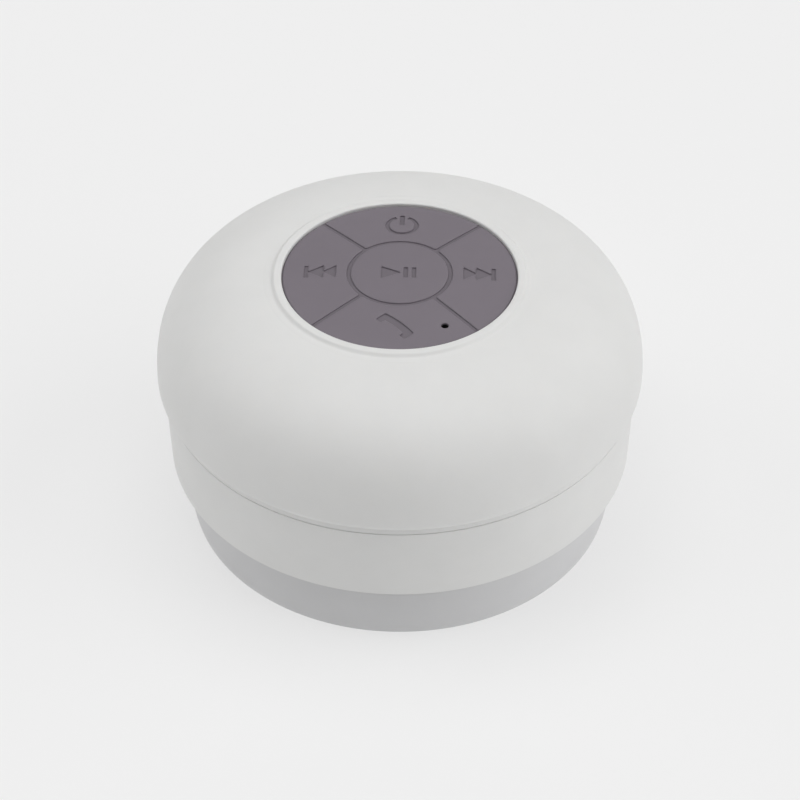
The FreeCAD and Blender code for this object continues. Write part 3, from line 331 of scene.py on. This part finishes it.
def mesh_object(name, points, faces):
    mesh = bpy.data.meshes.new(name)
    mesh.from_pydata([tuple(p) for p in points], [], faces)
    mesh.validate()
    obj = bpy.data.objects.new(name, mesh)
    bpy.context.scene.collection.objects.link(obj)
    return obj


def smooth(obj, degrees=40):
    """Smooth shading with flat areas kept flat."""
    obj.data.shade_smooth()
    obj.data.set_sharp_from_angle(angle=math.radians(degrees))
    weighted = obj.modifiers.new("flat_first", "WEIGHTED_NORMAL")
    weighted.keep_sharp = True
    return obj


def turned(name, profile, segments=256):
    """Closed solid of revolution about Z from a closed loop of (radius, height), in metres."""
    points, rings = [], []
    for r, z in profile:
        if r < 1e-7:
            rings.append([len(points)] * segments)
            points.append((0, 0, z))
            continue
        rings.append(list(range(len(points), len(points) + segments)))
        for i in range(segments):
            a = 2 * math.pi * i / segments
            points.append((r * math.cos(a), r * math.sin(a), z))
    faces = []
    for low, high in zip(rings, rings[1:] + rings[:1]):
        for i in range(segments):
            j = (i + 1) % segments
            corner = []
            for index in (low[i], low[j], high[j], high[i]):
                if index not in corner:
                    corner.append(index)
            if len(corner) > 2:
                faces.append(corner)
    obj = mesh_object(name, points, faces)
    fix_normals(obj)
    return smooth(obj)


def fix_normals(obj):
    work = bmesh.new()
    work.from_mesh(obj.data)
    bmesh.ops.recalc_face_normals(work, faces=work.faces)
    work.to_mesh(obj.data)
    work.free()


def soft_corners(points, radius, steps=6, closed=True):
    """Rounds the corners of a flat outline. radius is one number, or one for each point."""
    radii = radius if isinstance(radius, (list, tuple)) else [radius] * len(points)
    made = []
    for i, (p, r) in enumerate(zip(points, radii)):
        p = Vector(p)
        end = not closed and i in (0, len(points) - 1)
        if end or r <= 0:
            made.append(tuple(p))
            continue
        a = (Vector(points[i - 1]) - p).normalized()
        b = (Vector(points[(i + 1) % len(points)]) - p).normalized()
        half = a.angle(b) / 2
        middle = p + (a + b).normalized() * (r / math.sin(half))
        start, stop = p + a * (r / math.tan(half)) - middle, p + b * (r / math.tan(half)) - middle
        made += [tuple(middle + turn_between(start, stop, k / steps)) for k in range(steps + 1)]
    return made


def turn_between(start, stop, share):
    """The vector a share of the way round from start to stop, in the plane."""
    first = math.atan2(start.y, start.x)
    swing = (math.atan2(stop.y, stop.x) - first + math.pi) % (2 * math.pi) - math.pi
    angle = first + swing * share
    return Vector((math.cos(angle), math.sin(angle))) * start.length


def arc_points(centre, radius, start, stop, step=2.0):
    """Points along an arc, both ends included. Angles in degrees."""
    count = max(2, math.ceil(abs(stop - start) / step))
    angles = [math.radians(start + (stop - start) * k / count) for k in range(count + 1)]
    return [(centre[0] + radius * math.cos(a), centre[1] + radius * math.sin(a)) for a in angles]


def rotated(points, degrees, shift=(0, 0)):
    c, s = math.cos(math.radians(degrees)), math.sin(math.radians(degrees))
    return [(x * c - y * s + shift[0], x * s + y * c + shift[1]) for x, y in points]


def plate(name, outlines, low, high, edge, steps=3):
    """Flat plate with soft edges. Sizes are in millimetres. Outlines inside the first one are holes."""
    curve = bpy.data.curves.new(name, "CURVE")
    curve.dimensions = "2D"
    curve.fill_mode = "BOTH"
    curve.bevel_depth = edge
    curve.bevel_resolution = steps
    curve.offset = -edge
    curve.extrude = (high - low) / 2 - edge
    for outline in outlines:
        spline = curve.splines.new("POLY")
        spline.points.add(len(outline) - 1)
        for point, (x, y) in zip(spline.points, outline):
            point.co = (x, y, 0, 1)
        spline.use_cyclic_u = True
    source = bpy.data.objects.new(name, curve)
    bpy.context.scene.collection.objects.link(source)
    mesh = bpy.data.meshes.new_from_object(source.evaluated_get(bpy.context.evaluated_depsgraph_get()))
    bpy.data.objects.remove(source)
    bpy.data.curves.remove(curve)
    mesh.name = name
    obj = bpy.data.objects.new(name, mesh)
    bpy.context.scene.collection.objects.link(obj)
    for vertex in mesh.vertices:
        vertex.co = vertex.co * MM + Vector((0, 0, (high + low) / 2 * MM))
    weld(obj)
    return obj


def weld(obj, distance=2e-6):
    work = bmesh.new()
    work.from_mesh(obj.data)
    bmesh.ops.remove_doubles(work, verts=work.verts, dist=distance)
    bmesh.ops.recalc_face_normals(work, faces=work.faces)
    work.to_mesh(obj.data)
    work.free()


def join(name, *objects):
    """One object from several. Each stays a closed shell."""
    work = bmesh.new()
    for obj in objects:
        work.from_mesh(obj.data)
    mesh = bpy.data.meshes.new(name)
    work.to_mesh(mesh)
    work.free()
    for obj in objects:
        bpy.data.objects.remove(obj)
    made = bpy.data.objects.new(name, mesh)
    bpy.context.scene.collection.objects.link(made)
    return made


def sliced(obj, axis, places):
    """Cuts the mesh's faces by planes across an axis, so that it can bend there."""
    normal = Vector((axis == "X", axis == "Y", axis == "Z"))
    work = bmesh.new()
    work.from_mesh(obj.data)
    for place in places:
        parts = work.verts[:] + work.edges[:] + work.faces[:]
        bmesh.ops.bisect_plane(work, geom=parts, plane_co=normal * place, plane_no=normal, dist=1e-7)
    work.to_mesh(obj.data)
    work.free()


# ---- dome ----------------------------------------------------------------------------------------

def bezier(p0, p1, p2, p3, count):
    made = []
    for k in range(count + 1):
        t = k / count
        u = 1 - t
        w = (u ** 3, 3 * u * u * t, 3 * u * t * t, t ** 3)
        made.append(tuple(sum(wi * p[i] for wi, p in zip(w, (p0, p1, p2, p3))) for i in (0, 1)))
    return made


dome_low, dome_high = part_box("dome_cover")
DOME_R = 43.0 * MM
DOME_WIDE_Z = 30.0 * MM
TOP_R, TOP_Z = 22.1 * MM, 48.45 * MM    # where the dome's curve meets the keypad's raised lip
SHOULDER_RISE = 19.1 * MM               # how far the dome's curve keeps to its side, going up
SHOULDER_REACH = 3.2 * MM               # how far it keeps to its top, going out
SHOULDER_DROP = 0.15 * MM               # and how far it falls over that reach
SHOULDER_POINTS = 72
LIP_R = 20.4 * MM
LIP_Z = dome_high.z
LIP_FLAT_R = TOP_R - 0.35 * MM          # the lip's top ends here
VALLEY_R = TOP_R + 0.1 * MM             # its outer slope ends here, in a faint valley
VALLEY_DROP = 0.01 * MM
VALLEY_END_R = TOP_R + 1.2 * MM
SIDE_START_R = TOP_R + 1.3 * MM
LIP_EDGES = [0, 0.3 * MM, 0.5 * MM, 0.6 * MM, 0]
SEAM_R = 41.9 * MM
SEAM_Z = dome_low.z
SEAM_EDGE = 0.1 * MM
TUCK_Z = 28.2 * MM
TUCK_STEPS = 10
SKIN = 1.2 * MM
SKIN_GAP = 0.02 * MM
LIP_FOOT_Z = TOP_Z - 2 * SKIN
LIP_BACK_Z = LIP_FOOT_Z + 0.65 * MM


def lip_outline():
    """Raised lip round the keypad, from its inner foot out to the dome."""
    corners = [(LIP_R, LIP_FOOT_Z), (LIP_R, LIP_Z), (LIP_FLAT_R, LIP_Z), (VALLEY_R, TOP_Z - VALLEY_DROP),
               (VALLEY_END_R, TOP_Z)]
    return soft_corners(corners, LIP_EDGES, closed=False)


def dome_side():
    """The dome's curve, from the lip down to the widest place."""
    side = bezier((DOME_R, DOME_WIDE_Z), (DOME_R, DOME_WIDE_Z + SHOULDER_RISE),
                  (TOP_R + SHOULDER_REACH, TOP_Z - SHOULDER_DROP), (TOP_R, TOP_Z), SHOULDER_POINTS)
    return [p for p in reversed(side) if p[0] > SIDE_START_R]


def dome_tuck():
    """Arc under the widest place, and the edge at the seam."""
    reach, drop = DOME_R - SEAM_R, DOME_WIDE_Z - TUCK_Z
    radius = (reach ** 2 + drop ** 2) / (2 * reach)
    turns = [math.asin(drop / radius) * k / TUCK_STEPS for k in range(1, TUCK_STEPS + 1)]
    tuck = [(DOME_R - radius * (1 - math.cos(a)), DOME_WIDE_Z - radius * math.sin(a)) for a in turns]
    edge = soft_corners([tuck[-2], (SEAM_R, TUCK_Z), (SEAM_R, SEAM_Z), (SEAM_R - SKIN, SEAM_Z)],
                        [0, SEAM_EDGE, SEAM_EDGE, 0], closed=False)
    return tuck[:-1] + edge[1:]


def dome_skin():
    """The dome's silicone skin, with a soft raised lip round the keypad and a tucked edge at the seam."""
    side = dome_side()
    inside = [(SEAM_R - SKIN, TUCK_Z)]
    for r, z in reversed(side[::6]):
        inside.append((r - SKIN * (r - TOP_R) / (DOME_R - TOP_R) - SKIN_GAP, z - SKIN))
    inside.append((LIP_R, LIP_BACK_Z))
    return turned("dome_skin", lip_outline() + side + dome_tuck() + inside)


finish_piece(dome_skin(), ROOT, "dome_cover")


# ---- keypad --------------------------------------------------------------------------------------

SHEET_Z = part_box("keypad_web")[0].z / MM
SHEET_R = 22.3
SHEET_THICK = 0.8
STRIP_FOOT = 0.2              # how far into the sheet the strips start
KEY_TOP = KEY_TOP_Z / MM
KEY_BASE = 47.5
RING_GROOVE_R = 8.78
GROOVE_HALF = 0.36
GROOVE_DEPTH = 0.26
PLAY_R = 8.42
KEY_CORNER = 0.4
KEY_EDGE = 0.17
HIDDEN_EDGE = 0.03            # edges that nobody sees
THIN_EDGE = 0.02
TUCK = 0.02                   # how much a key's body stands in from its top
ICON_DEPTH = 0.3
HOLE_GAP = 0.012
DOME_CUTS = 14                # slices from the keypad's middle to its rim, so that it can bend
SIDES = {"next": (-48, 46.5), "power": (46.5, 134), "previous": (134, 225), "call": (225, 312)}
MIC_R, MIC_ANGLE, MIC_HOLE_R = 16.0, 300, 0.65


def circle(radius, centre=(0, 0), step=3.0):
    return arc_points(centre, radius, 0, 360 - step, step)


def sector(inner, outer, half, corner, sides):
    """Round-cornered part of a ring between two angles, whose sides stay half a groove inside them."""
    middle, span = (sides[0] + sides[1]) / 2, (sides[1] - sides[0]) / 2
    phi_out = span - math.degrees(math.asin((half + corner) / (outer - corner)))
    phi_in = span - math.degrees(math.asin((half + corner) / (inner + corner)))

    def corner_arc(distance, phi, start, stop):
        centre = (distance * math.cos(math.radians(phi)), distance * math.sin(math.radians(phi)))
        return arc_points(centre, corner, start, stop, 12)

    outline = arc_points((0, 0), outer, -phi_out, phi_out, 1.5)[1:-1]
    outline += corner_arc(outer - corner, phi_out, phi_out, span + 90)
    outline += corner_arc(inner + corner, phi_in, span + 90, phi_in + 180)
    outline += arc_points((0, 0), inner, phi_in, -phi_in, 3)[1:-1]
    outline += corner_arc(inner + corner, -phi_in, 180 - phi_in, 270 - span)
    outline += corner_arc(outer - corner, -phi_out, -90 - span, -phi_out)
    return rotated(outline, middle)


def box_outline(x0, x1, y0, y1, corner=0.14):
    return soft_corners([(x0, y0), (x1, y0), (x1, y1), (x0, y1)], corner)


def power_icon():
    """Open ring with an upright bar through its gap."""
    outer, stroke, gap, place = 2.95, 0.72, 24, (0, 14.0)
    ring = arc_points((0, 0), outer, 90 + gap, 450 - gap, 4)
    ring += arc_points((0, 0), outer - stroke, 450 - gap, 90 + gap, 5)
    bar = box_outline(-0.39, 0.39, 0.15, 3.1)
    return [rotated(ring, 0, place), rotated(bar, 0, place)]


def skip_icon(side):
    """Two triangles that run into each other and into a bar, drawn as one outline about the x axis."""
    half, neck, bar_half, place = 1.75, 0.22, 1.65, (0, 0.3)
    upper = [(11.0, half), (13.1, neck), (13.25, half), (15.6, neck), (15.85, neck), (15.85, bar_half),
             (16.55, bar_half)]
    outline = soft_corners(upper + [(x, -y) for x, y in reversed(upper)], 0.1, 3)
    return [rotated(outline, 0 if side > 0 else 180, place)]


def play_icon():
    """Triangle and two upright bars."""
    back, tip, half, bar, bar_half = -3.2, 0.3, 1.7, 0.72, 1.45
    triangle = soft_corners([(back, -half), (tip, 0), (back, half)], [0.12, 0.16, 0.12])
    return [triangle] + [box_outline(x, x + bar, -bar_half, bar_half) for x in (0.68, 2.1)]


def call_icon():
    """Telephone handset on the diagonal: a bowed grip with an ear piece at each end."""
    half, top, low, under, ear, place = 3.5, 0.88, -1.32, -0.4, 1.25, (-0.25, -14.1)

    def bowed(x0, x1, y, rise, count=14):
        shares = [k / count for k in range(count + 1)]
        return [(x0 + (x1 - x0) * share, y + rise * math.sin(math.pi * share)) for share in shares]

    back = bowed(half, -half, top, 0.3)
    inner = bowed(-half + ear, half - ear, under, 0.2)
    outline = back + [(-half, low), (-half + ear, low)] + inner + [(half - ear, low), (half, low)]
    radii = [0.45] + [0] * (len(back) - 2) + [0.45, 0.3, 0.3]
    radii += [0.25] + [0] * (len(inner) - 2) + [0.25, 0.3, 0.3]
    return [rotated(soft_corners(outline, radii), -45, place)]


def mic_hole():
    centre = rotated([(MIC_R, 0)], MIC_ANGLE)[0]
    return circle(MIC_HOLE_R, centre, 12)


def key_cap(name, outline, inner_outline, icon, through=()):
    """Key cap: an upper plate that the icon's shapes are cut through, on a body that floors them."""
    overlap = 2 * KEY_EDGE
    top = plate("top", [outline, *icon, *through], KEY_TOP - ICON_DEPTH - overlap, KEY_TOP, KEY_EDGE)
    body = plate("body", [inner_outline, *through], KEY_BASE, KEY_TOP - ICON_DEPTH, HIDDEN_EDGE, 1)
    for part in (top, body):
        domed(part)
    return smooth(join(f"{name}_key_cap", top, body), 60)


def domed(obj):
    """Bends what is above the keys' base to the keypad's shallow dome."""
    reach = KEYPAD_R * MM
    cuts = [reach * (k / DOME_CUTS) for k in range(-DOME_CUTS, DOME_CUTS + 1)]
    for axis in "XY":
        sliced(obj, axis, cuts)
    for vertex in obj.data.vertices:
        x, y, z = vertex.co
        if z > (KEY_BASE + 0.3) * MM:
            vertex.co.z = z - (x * x + y * y) / (2 * KEYPAD_BALL_R)


def sector_cap(name, icon, through=()):
    inner, sides = RING_GROOVE_R + GROOVE_HALF, SIDES[name]
    outline = sector(inner, KEYPAD_R, GROOVE_HALF, KEY_CORNER, sides)
    inset = sector(inner + TUCK, KEYPAD_R - TUCK, GROOVE_HALF + TUCK, KEY_CORNER, sides)
    return key_cap(name, outline, inset, icon, through)


def keypad_floor():
    """The strips of silicone that floor the grooves, with room for each key."""
    inner = RING_GROOVE_R + GROOVE_HALF - HOLE_GAP
    outer, half = KEYPAD_R + HOLE_GAP, GROOVE_HALF - HOLE_GAP
    rooms = [sector(inner, outer, half, KEY_CORNER, sides) for sides in SIDES.values()]
    outlines = [circle(LIP_R / MM - TUCK), *rooms, circle(PLAY_R + HOLE_GAP)]
    strips = plate("strips", outlines, SHEET_Z + STRIP_FOOT, KEY_TOP - GROOVE_DEPTH, THIN_EDGE, 1)
    domed(strips)
    sheet = plate("sheet", [circle(SHEET_R), mic_hole()], SHEET_Z, SHEET_Z + SHEET_THICK, THIN_EDGE, 1)
    return smooth(join("keypad_sheet", strips, sheet), 60)


for key, icon, through in (("power", power_icon(), ()), ("previous", skip_icon(-1), ()),
                           ("next", skip_icon(1), ()), ("call", call_icon(), (mic_hole(),))):
    finish_piece(sector_cap(key, icon, through), f"{key}_button", f"{key}_key")
finish_piece(key_cap("play", circle(PLAY_R), circle(PLAY_R - TUCK), play_icon()), "play_button", "play_key")
finish_piece(keypad_floor(), ROOT, "keypad_web")


# ---- band, port cover and suction cup ------------------------------------------------------------

band_low, band_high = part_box("band_sleeve")
flap_low, flap_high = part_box("port_cover")
PORT_Z = (flap_low.z + flap_high.z) / 2 / MM
BAND_TOP_R, BAND_BOTTOM_R, BAND_INNER_R = 41.9, 41.6, 40.45
BAND_EDGE = 0.09
BAND_STEPS = 192
BAND_SPARE = 2                # cut off again where the band's ends meet
WINDOW_CORNER, TETHER_CORNER, TETHER_CROOK = 1.9, 0.4, 0.3
FLAP_W, FLAP_H, FLAP_CORNER = 16.4, 10.4, 3.0
FLAP_THICK, FLAP_EDGE = 1.25, 0.22
FLAP_GAP = 0.15
TETHER_FAR, TETHER_NEAR, TETHER_HALF = -10.45, -8.5, 2.5
# Blocks of the port cover: width, height and corner, or x from and to, then y from and to
PLUG, PLUG_HOLLOW, PLUG_Y = (11.8, 7.2, 1.4), (8.8, 4.2, 0.7), (39.3, 40.6)
CROWN, CROWN_Y = (11.4, 6.8, 1.3), (40.2, 41.0)
FINGER_LIP, FINGER_LIP_X = (0.84, 5.0, 0.4), FLAP_W / 2 - 1.1
FINGER_LIP_ROOT, FINGER_LIP_RISE = 1.0, 0.26
HINGE_X, HINGE_Y, HINGE_CORNER = (-9.4, -7.6), (40.65, 41.1), 0.2
HINGE_CUT_X, HINGE_STEP, HINGE_CUTS = -9.0, 0.06, 18      # slices across the hinge
ANCHOR_Y, ANCHOR_CORNER = (36.7, 41.0), 0.25


def wrapped(obj, outer_r, turn_scale):
    """Bends an upright plate round +Y. Its x becomes arc, its z stays, and its y adds to the radius."""
    for vertex in obj.data.vertices:
        x, y, z = vertex.co
        angle = turn_scale(x)
        radius = outer_r(z) + y
        vertex.co = (radius * math.sin(angle), radius * math.cos(angle), z)


def upright(obj):
    """Stands a flat plate up: its outline's y becomes height, and its height becomes y."""
    for vertex in obj.data.vertices:
        x, y, z = vertex.co
        vertex.co = (x, z, y)


def port_box(width, height, corner):
    """Rounded box about the middle of the port."""
    return box_outline(-width / 2, width / 2, PORT_Z - height / 2, PORT_Z + height / 2, corner)


def band_skin():
    """White band round the lower housing, with the window of the port cover and its tether."""
    low_z, high_z = band_low.z / MM, band_high.z / MM
    middle_r = (BAND_TOP_R + BAND_BOTTOM_R) / 2
    half_turn = math.pi * middle_r
    over = half_turn + BAND_SPARE
    border = [(-over, low_z), (over, low_z), (over, high_z), (-over, high_z)]
    obj = plate("band_skin", [border, port_window()], BAND_INNER_R - middle_r, 0, BAND_EDGE)
    upright(obj)
    trim_to_turn(obj, half_turn * MM)
    sliced(obj, "X", [half_turn * MM * (2 * k / BAND_STEPS - 1) for k in range(1, BAND_STEPS)])
    wrapped(obj, lambda z: band_radius(z / MM) * MM, lambda x: x / (middle_r * MM))
    weld(obj, 5e-6)
    return smooth(obj)


def port_window():
    """Outline of the opening for the port cover, with a tab for its tether."""
    half_w, half_h = FLAP_W / 2 + FLAP_GAP, FLAP_H / 2 + FLAP_GAP
    tab_x, tab_h = TETHER_FAR - FLAP_GAP, TETHER_HALF + FLAP_GAP
    window = [(-half_w, -half_h), (half_w, -half_h), (half_w, half_h), (-half_w, half_h),
              (-half_w, tab_h), (tab_x, tab_h), (tab_x, -tab_h), (-half_w, -tab_h)]
    corner = FLAP_CORNER + FLAP_GAP
    radii = [WINDOW_CORNER, corner, corner, WINDOW_CORNER]
    radii += [TETHER_CROOK, TETHER_CORNER, TETHER_CORNER, TETHER_CROOK]
    return rotated(soft_corners(window, radii), 0, (0, PORT_Z))


def band_radius(z):
    """Outer radius of the band at a height, both in millimetres."""
    share = (z - band_low.z / MM) / ((band_high.z - band_low.z) / MM)
    return BAND_BOTTOM_R + (BAND_TOP_R - BAND_BOTTOM_R) * share


def trim_to_turn(obj, half_turn):
    """Cuts off what is past one full turn, so that the two ends meet."""
    work = bmesh.new()
    work.from_mesh(obj.data)
    for side in (-1, 1):
        parts = work.verts[:] + work.edges[:] + work.faces[:]
        bmesh.ops.bisect_plane(work, geom=parts, plane_co=(side * half_turn, 0, 0), plane_no=(side, 0, 0),
                               clear_outer=True, dist=1e-7)
    work.to_mesh(obj.data)
    work.free()


finish_piece(band_skin(), ROOT, "band_sleeve")


def port_flap():
    """Silicone cover of the charging port: flap, hollow plug, finger lip, thin hinge and anchored tether."""
    face_r = band_radius(PORT_Z)
    cover = plate("cover", [port_box(FLAP_W, FLAP_H, FLAP_CORNER)], -FLAP_THICK, 0, FLAP_EDGE)
    upright(cover)
    sliced(cover, "X", [k * MM for k in range(-8, 9)])
    wrapped(cover, lambda z: face_r * MM, lambda x: math.asin(x / (face_r * MM)))
    finger_lip = rotated(port_box(*FINGER_LIP), 0, (FINGER_LIP_X, 0))
    heights = (PORT_Z - TETHER_HALF, PORT_Z + TETHER_HALF)
    hinge_outline = box_outline(*HINGE_X, *heights, HINGE_CORNER)
    anchor_outline = box_outline(TETHER_FAR, TETHER_NEAR, *heights, ANCHOR_CORNER)
    plug = plate("plug", [port_box(*PLUG), port_box(*PLUG_HOLLOW)], *PLUG_Y, 0.15)
    crown = plate("crown", [port_box(*CROWN)], *CROWN_Y, 0.05)
    lip = plate("lip", [finger_lip], face_r - FINGER_LIP_ROOT, face_r + FINGER_LIP_RISE, 0.16)
    hinge = plate("hinge", [hinge_outline], *HINGE_Y, 0.1)
    anchor = plate("anchor", [anchor_outline], *ANCHOR_Y, 0.2)
    for part in (plug, crown, lip, hinge, anchor):
        upright(part)
    sliced(hinge, "X", [(HINGE_CUT_X + HINGE_STEP * k) * MM for k in range(HINGE_CUTS)])
    obj = smooth(join("port_flap", cover, plug, crown, lip, hinge, anchor))
    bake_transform(obj)
    return obj


finish_piece(port_flap(), None, "port_cover", "port_cover_tether")


CUP_R = 38.9
CUP_SKIRT = (38.65, 1.2)      # radius and height of the bend near the foot
CUP_FOOT_R = 38.4
CUP_EDGES = [0, 0.7, 0.5, 0]
CUP_LIP = [(37.4, 0.0), (36.95, 0.02)]
CUP_HOLLOW = ((36.9, 0.06), (35.2, 3.4), (31.5, 5.2), (26.0, 5.2))
CUP_CEILING = 5.2
CUP_FLOOR = 7.4               # upper face of the cup's disc
CUP_SEAT_R, CUP_SEAT_Z = 34.6, 8.7
CUP_POCKET_R = 36.2
GRIP_RINGS = (22.0, 12.0)
GRIP_FOOT, GRIP_TIP, GRIP_DEPTH, GRIP_EDGE = 0.55, 0.35, 0.5, 0.14


def suction_cup():
    """Grey cup: soft wall, flat sealing lip, hollow underside with grip rings."""
    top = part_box("suction_cup")[1].z / MM
    wall = [(CUP_SEAT_R, top), (CUP_R, top), CUP_SKIRT, (CUP_FOOT_R, 0)]
    outer = soft_corners(wall, CUP_EDGES, closed=False)
    rings = []
    for radius in GRIP_RINGS:
        foot, tip, tip_z = GRIP_FOOT, GRIP_TIP, CUP_CEILING - GRIP_DEPTH
        ring = [(radius + foot, CUP_CEILING), (radius + tip, tip_z), (radius - tip, tip_z),
                (radius - foot, CUP_CEILING)]
        rings += soft_corners(ring, GRIP_EDGE, 4, closed=False)
    pocket = [(0, CUP_CEILING), (0, CUP_FLOOR), (CUP_POCKET_R, CUP_FLOOR), (CUP_POCKET_R, CUP_SEAT_Z),
              (CUP_SEAT_R, CUP_SEAT_Z)]
    loop = outer + CUP_LIP + bezier(*CUP_HOLLOW, 24) + rings + pocket
    return turned("suction_cup_body", [(r * MM, z * MM) for r, z in loop])


finish_piece(suction_cup(), ROOT, "suction_cup")


# ---- stage, light and camera ---------------------------------------------------------------------

def stage():
    """Pale floor, lit partly from below as a light table is, so that the shadow on it stays faint."""
    half = FLOOR_HALF
    floor = mesh_object("floor", [(-half, -half, 0), (half, -half, 0), (half, half, 0), (-half, half, 0)],
                        [(0, 1, 2, 3)])
    n = Nodes("pale_floor", FLOOR_COLOUR, 0.9, Specular_IOR_Level=0.1)
    n.colour(n.blend_colours(n.noise(0.05, 3), shade(FLOOR_COLOUR, 0.995), shade(FLOOR_COLOUR, 1.005)))
    n.shader.inputs["Emission Color"].default_value = (1, 1, 1, 1)
    n.shader.inputs["Emission Strength"].default_value = FLOOR_GLOW
    floor.data.materials.append(n.material)


FLOOR_HALF = 12.0
FLOOR_COLOUR = (0.34, 0.34, 0.34)
FLOOR_GLOW = 0.551
SKY = 0.04
SUNS = {                      # azimuth from +Y clockwise, elevation, angle across, strength
    "overhead": (0, 90, 60, 1.18),
    "right": (90, 30, 50, 1.05),
    "front_right": (135, 30, 50, 0.42),
    "left": (-90, 30, 50, 0.67),
    "high_left": (-90, 60, 50, 0.27),
    "back": (0, 45, 60, 0.33),
}


def lights():
    world = bpy.data.worlds.new("studio")
    bpy.context.scene.world = world
    world.use_nodes = True
    world.node_tree.nodes["Background"].inputs["Color"].default_value = (1, 1, 1, 1)
    world.node_tree.nodes["Background"].inputs["Strength"].default_value = SKY
    for name, (azimuth, elevation, angle, strength) in SUNS.items():
        sun = bpy.data.lights.new(name, "SUN")
        sun.angle = math.radians(angle)
        sun.energy = strength
        lamp = bpy.data.objects.new(name, sun)
        bpy.context.scene.collection.objects.link(lamp)
        a, e = math.radians(azimuth), math.radians(elevation)
        towards = Vector((math.sin(a) * math.cos(e), math.cos(a) * math.cos(e), math.sin(e)))
        lamp.rotation_euler = towards.to_track_quat("Z", "Y").to_euler()


CAMERA_TARGET = Vector((0, 0, 0.020))
CAMERA_DISTANCE = 0.4
CAMERA_ELEVATION, CAMERA_AZIMUTH, CAMERA_ROLL = 40.915, 1.8, -0.177     # degrees
LENS, SENSOR = 99.5, 36       # millimetres


def camera():
    """Long lens from the front and above, turned a little towards +X."""
    data = bpy.data.cameras.new("camera")
    data.sensor_width = SENSOR
    data.lens = LENS
    data.clip_start = 0.01
    cam = bpy.data.objects.new("camera", data)
    bpy.context.scene.collection.objects.link(cam)
    a, e = math.radians(CAMERA_AZIMUTH), math.radians(CAMERA_ELEVATION)
    away = Vector((math.sin(a) * math.cos(e), -math.cos(a) * math.cos(e), math.sin(e)))
    cam.location = CAMERA_TARGET + away * CAMERA_DISTANCE
    look = away.to_track_quat("Z", "Y").to_matrix()
    cam.rotation_euler = (look @ Matrix.Rotation(math.radians(CAMERA_ROLL), 3, "Z")).to_euler()
    bpy.context.scene.camera = cam


stage()
lights()
camera()
bpy.context.scene.view_settings.view_transform = "Standard"
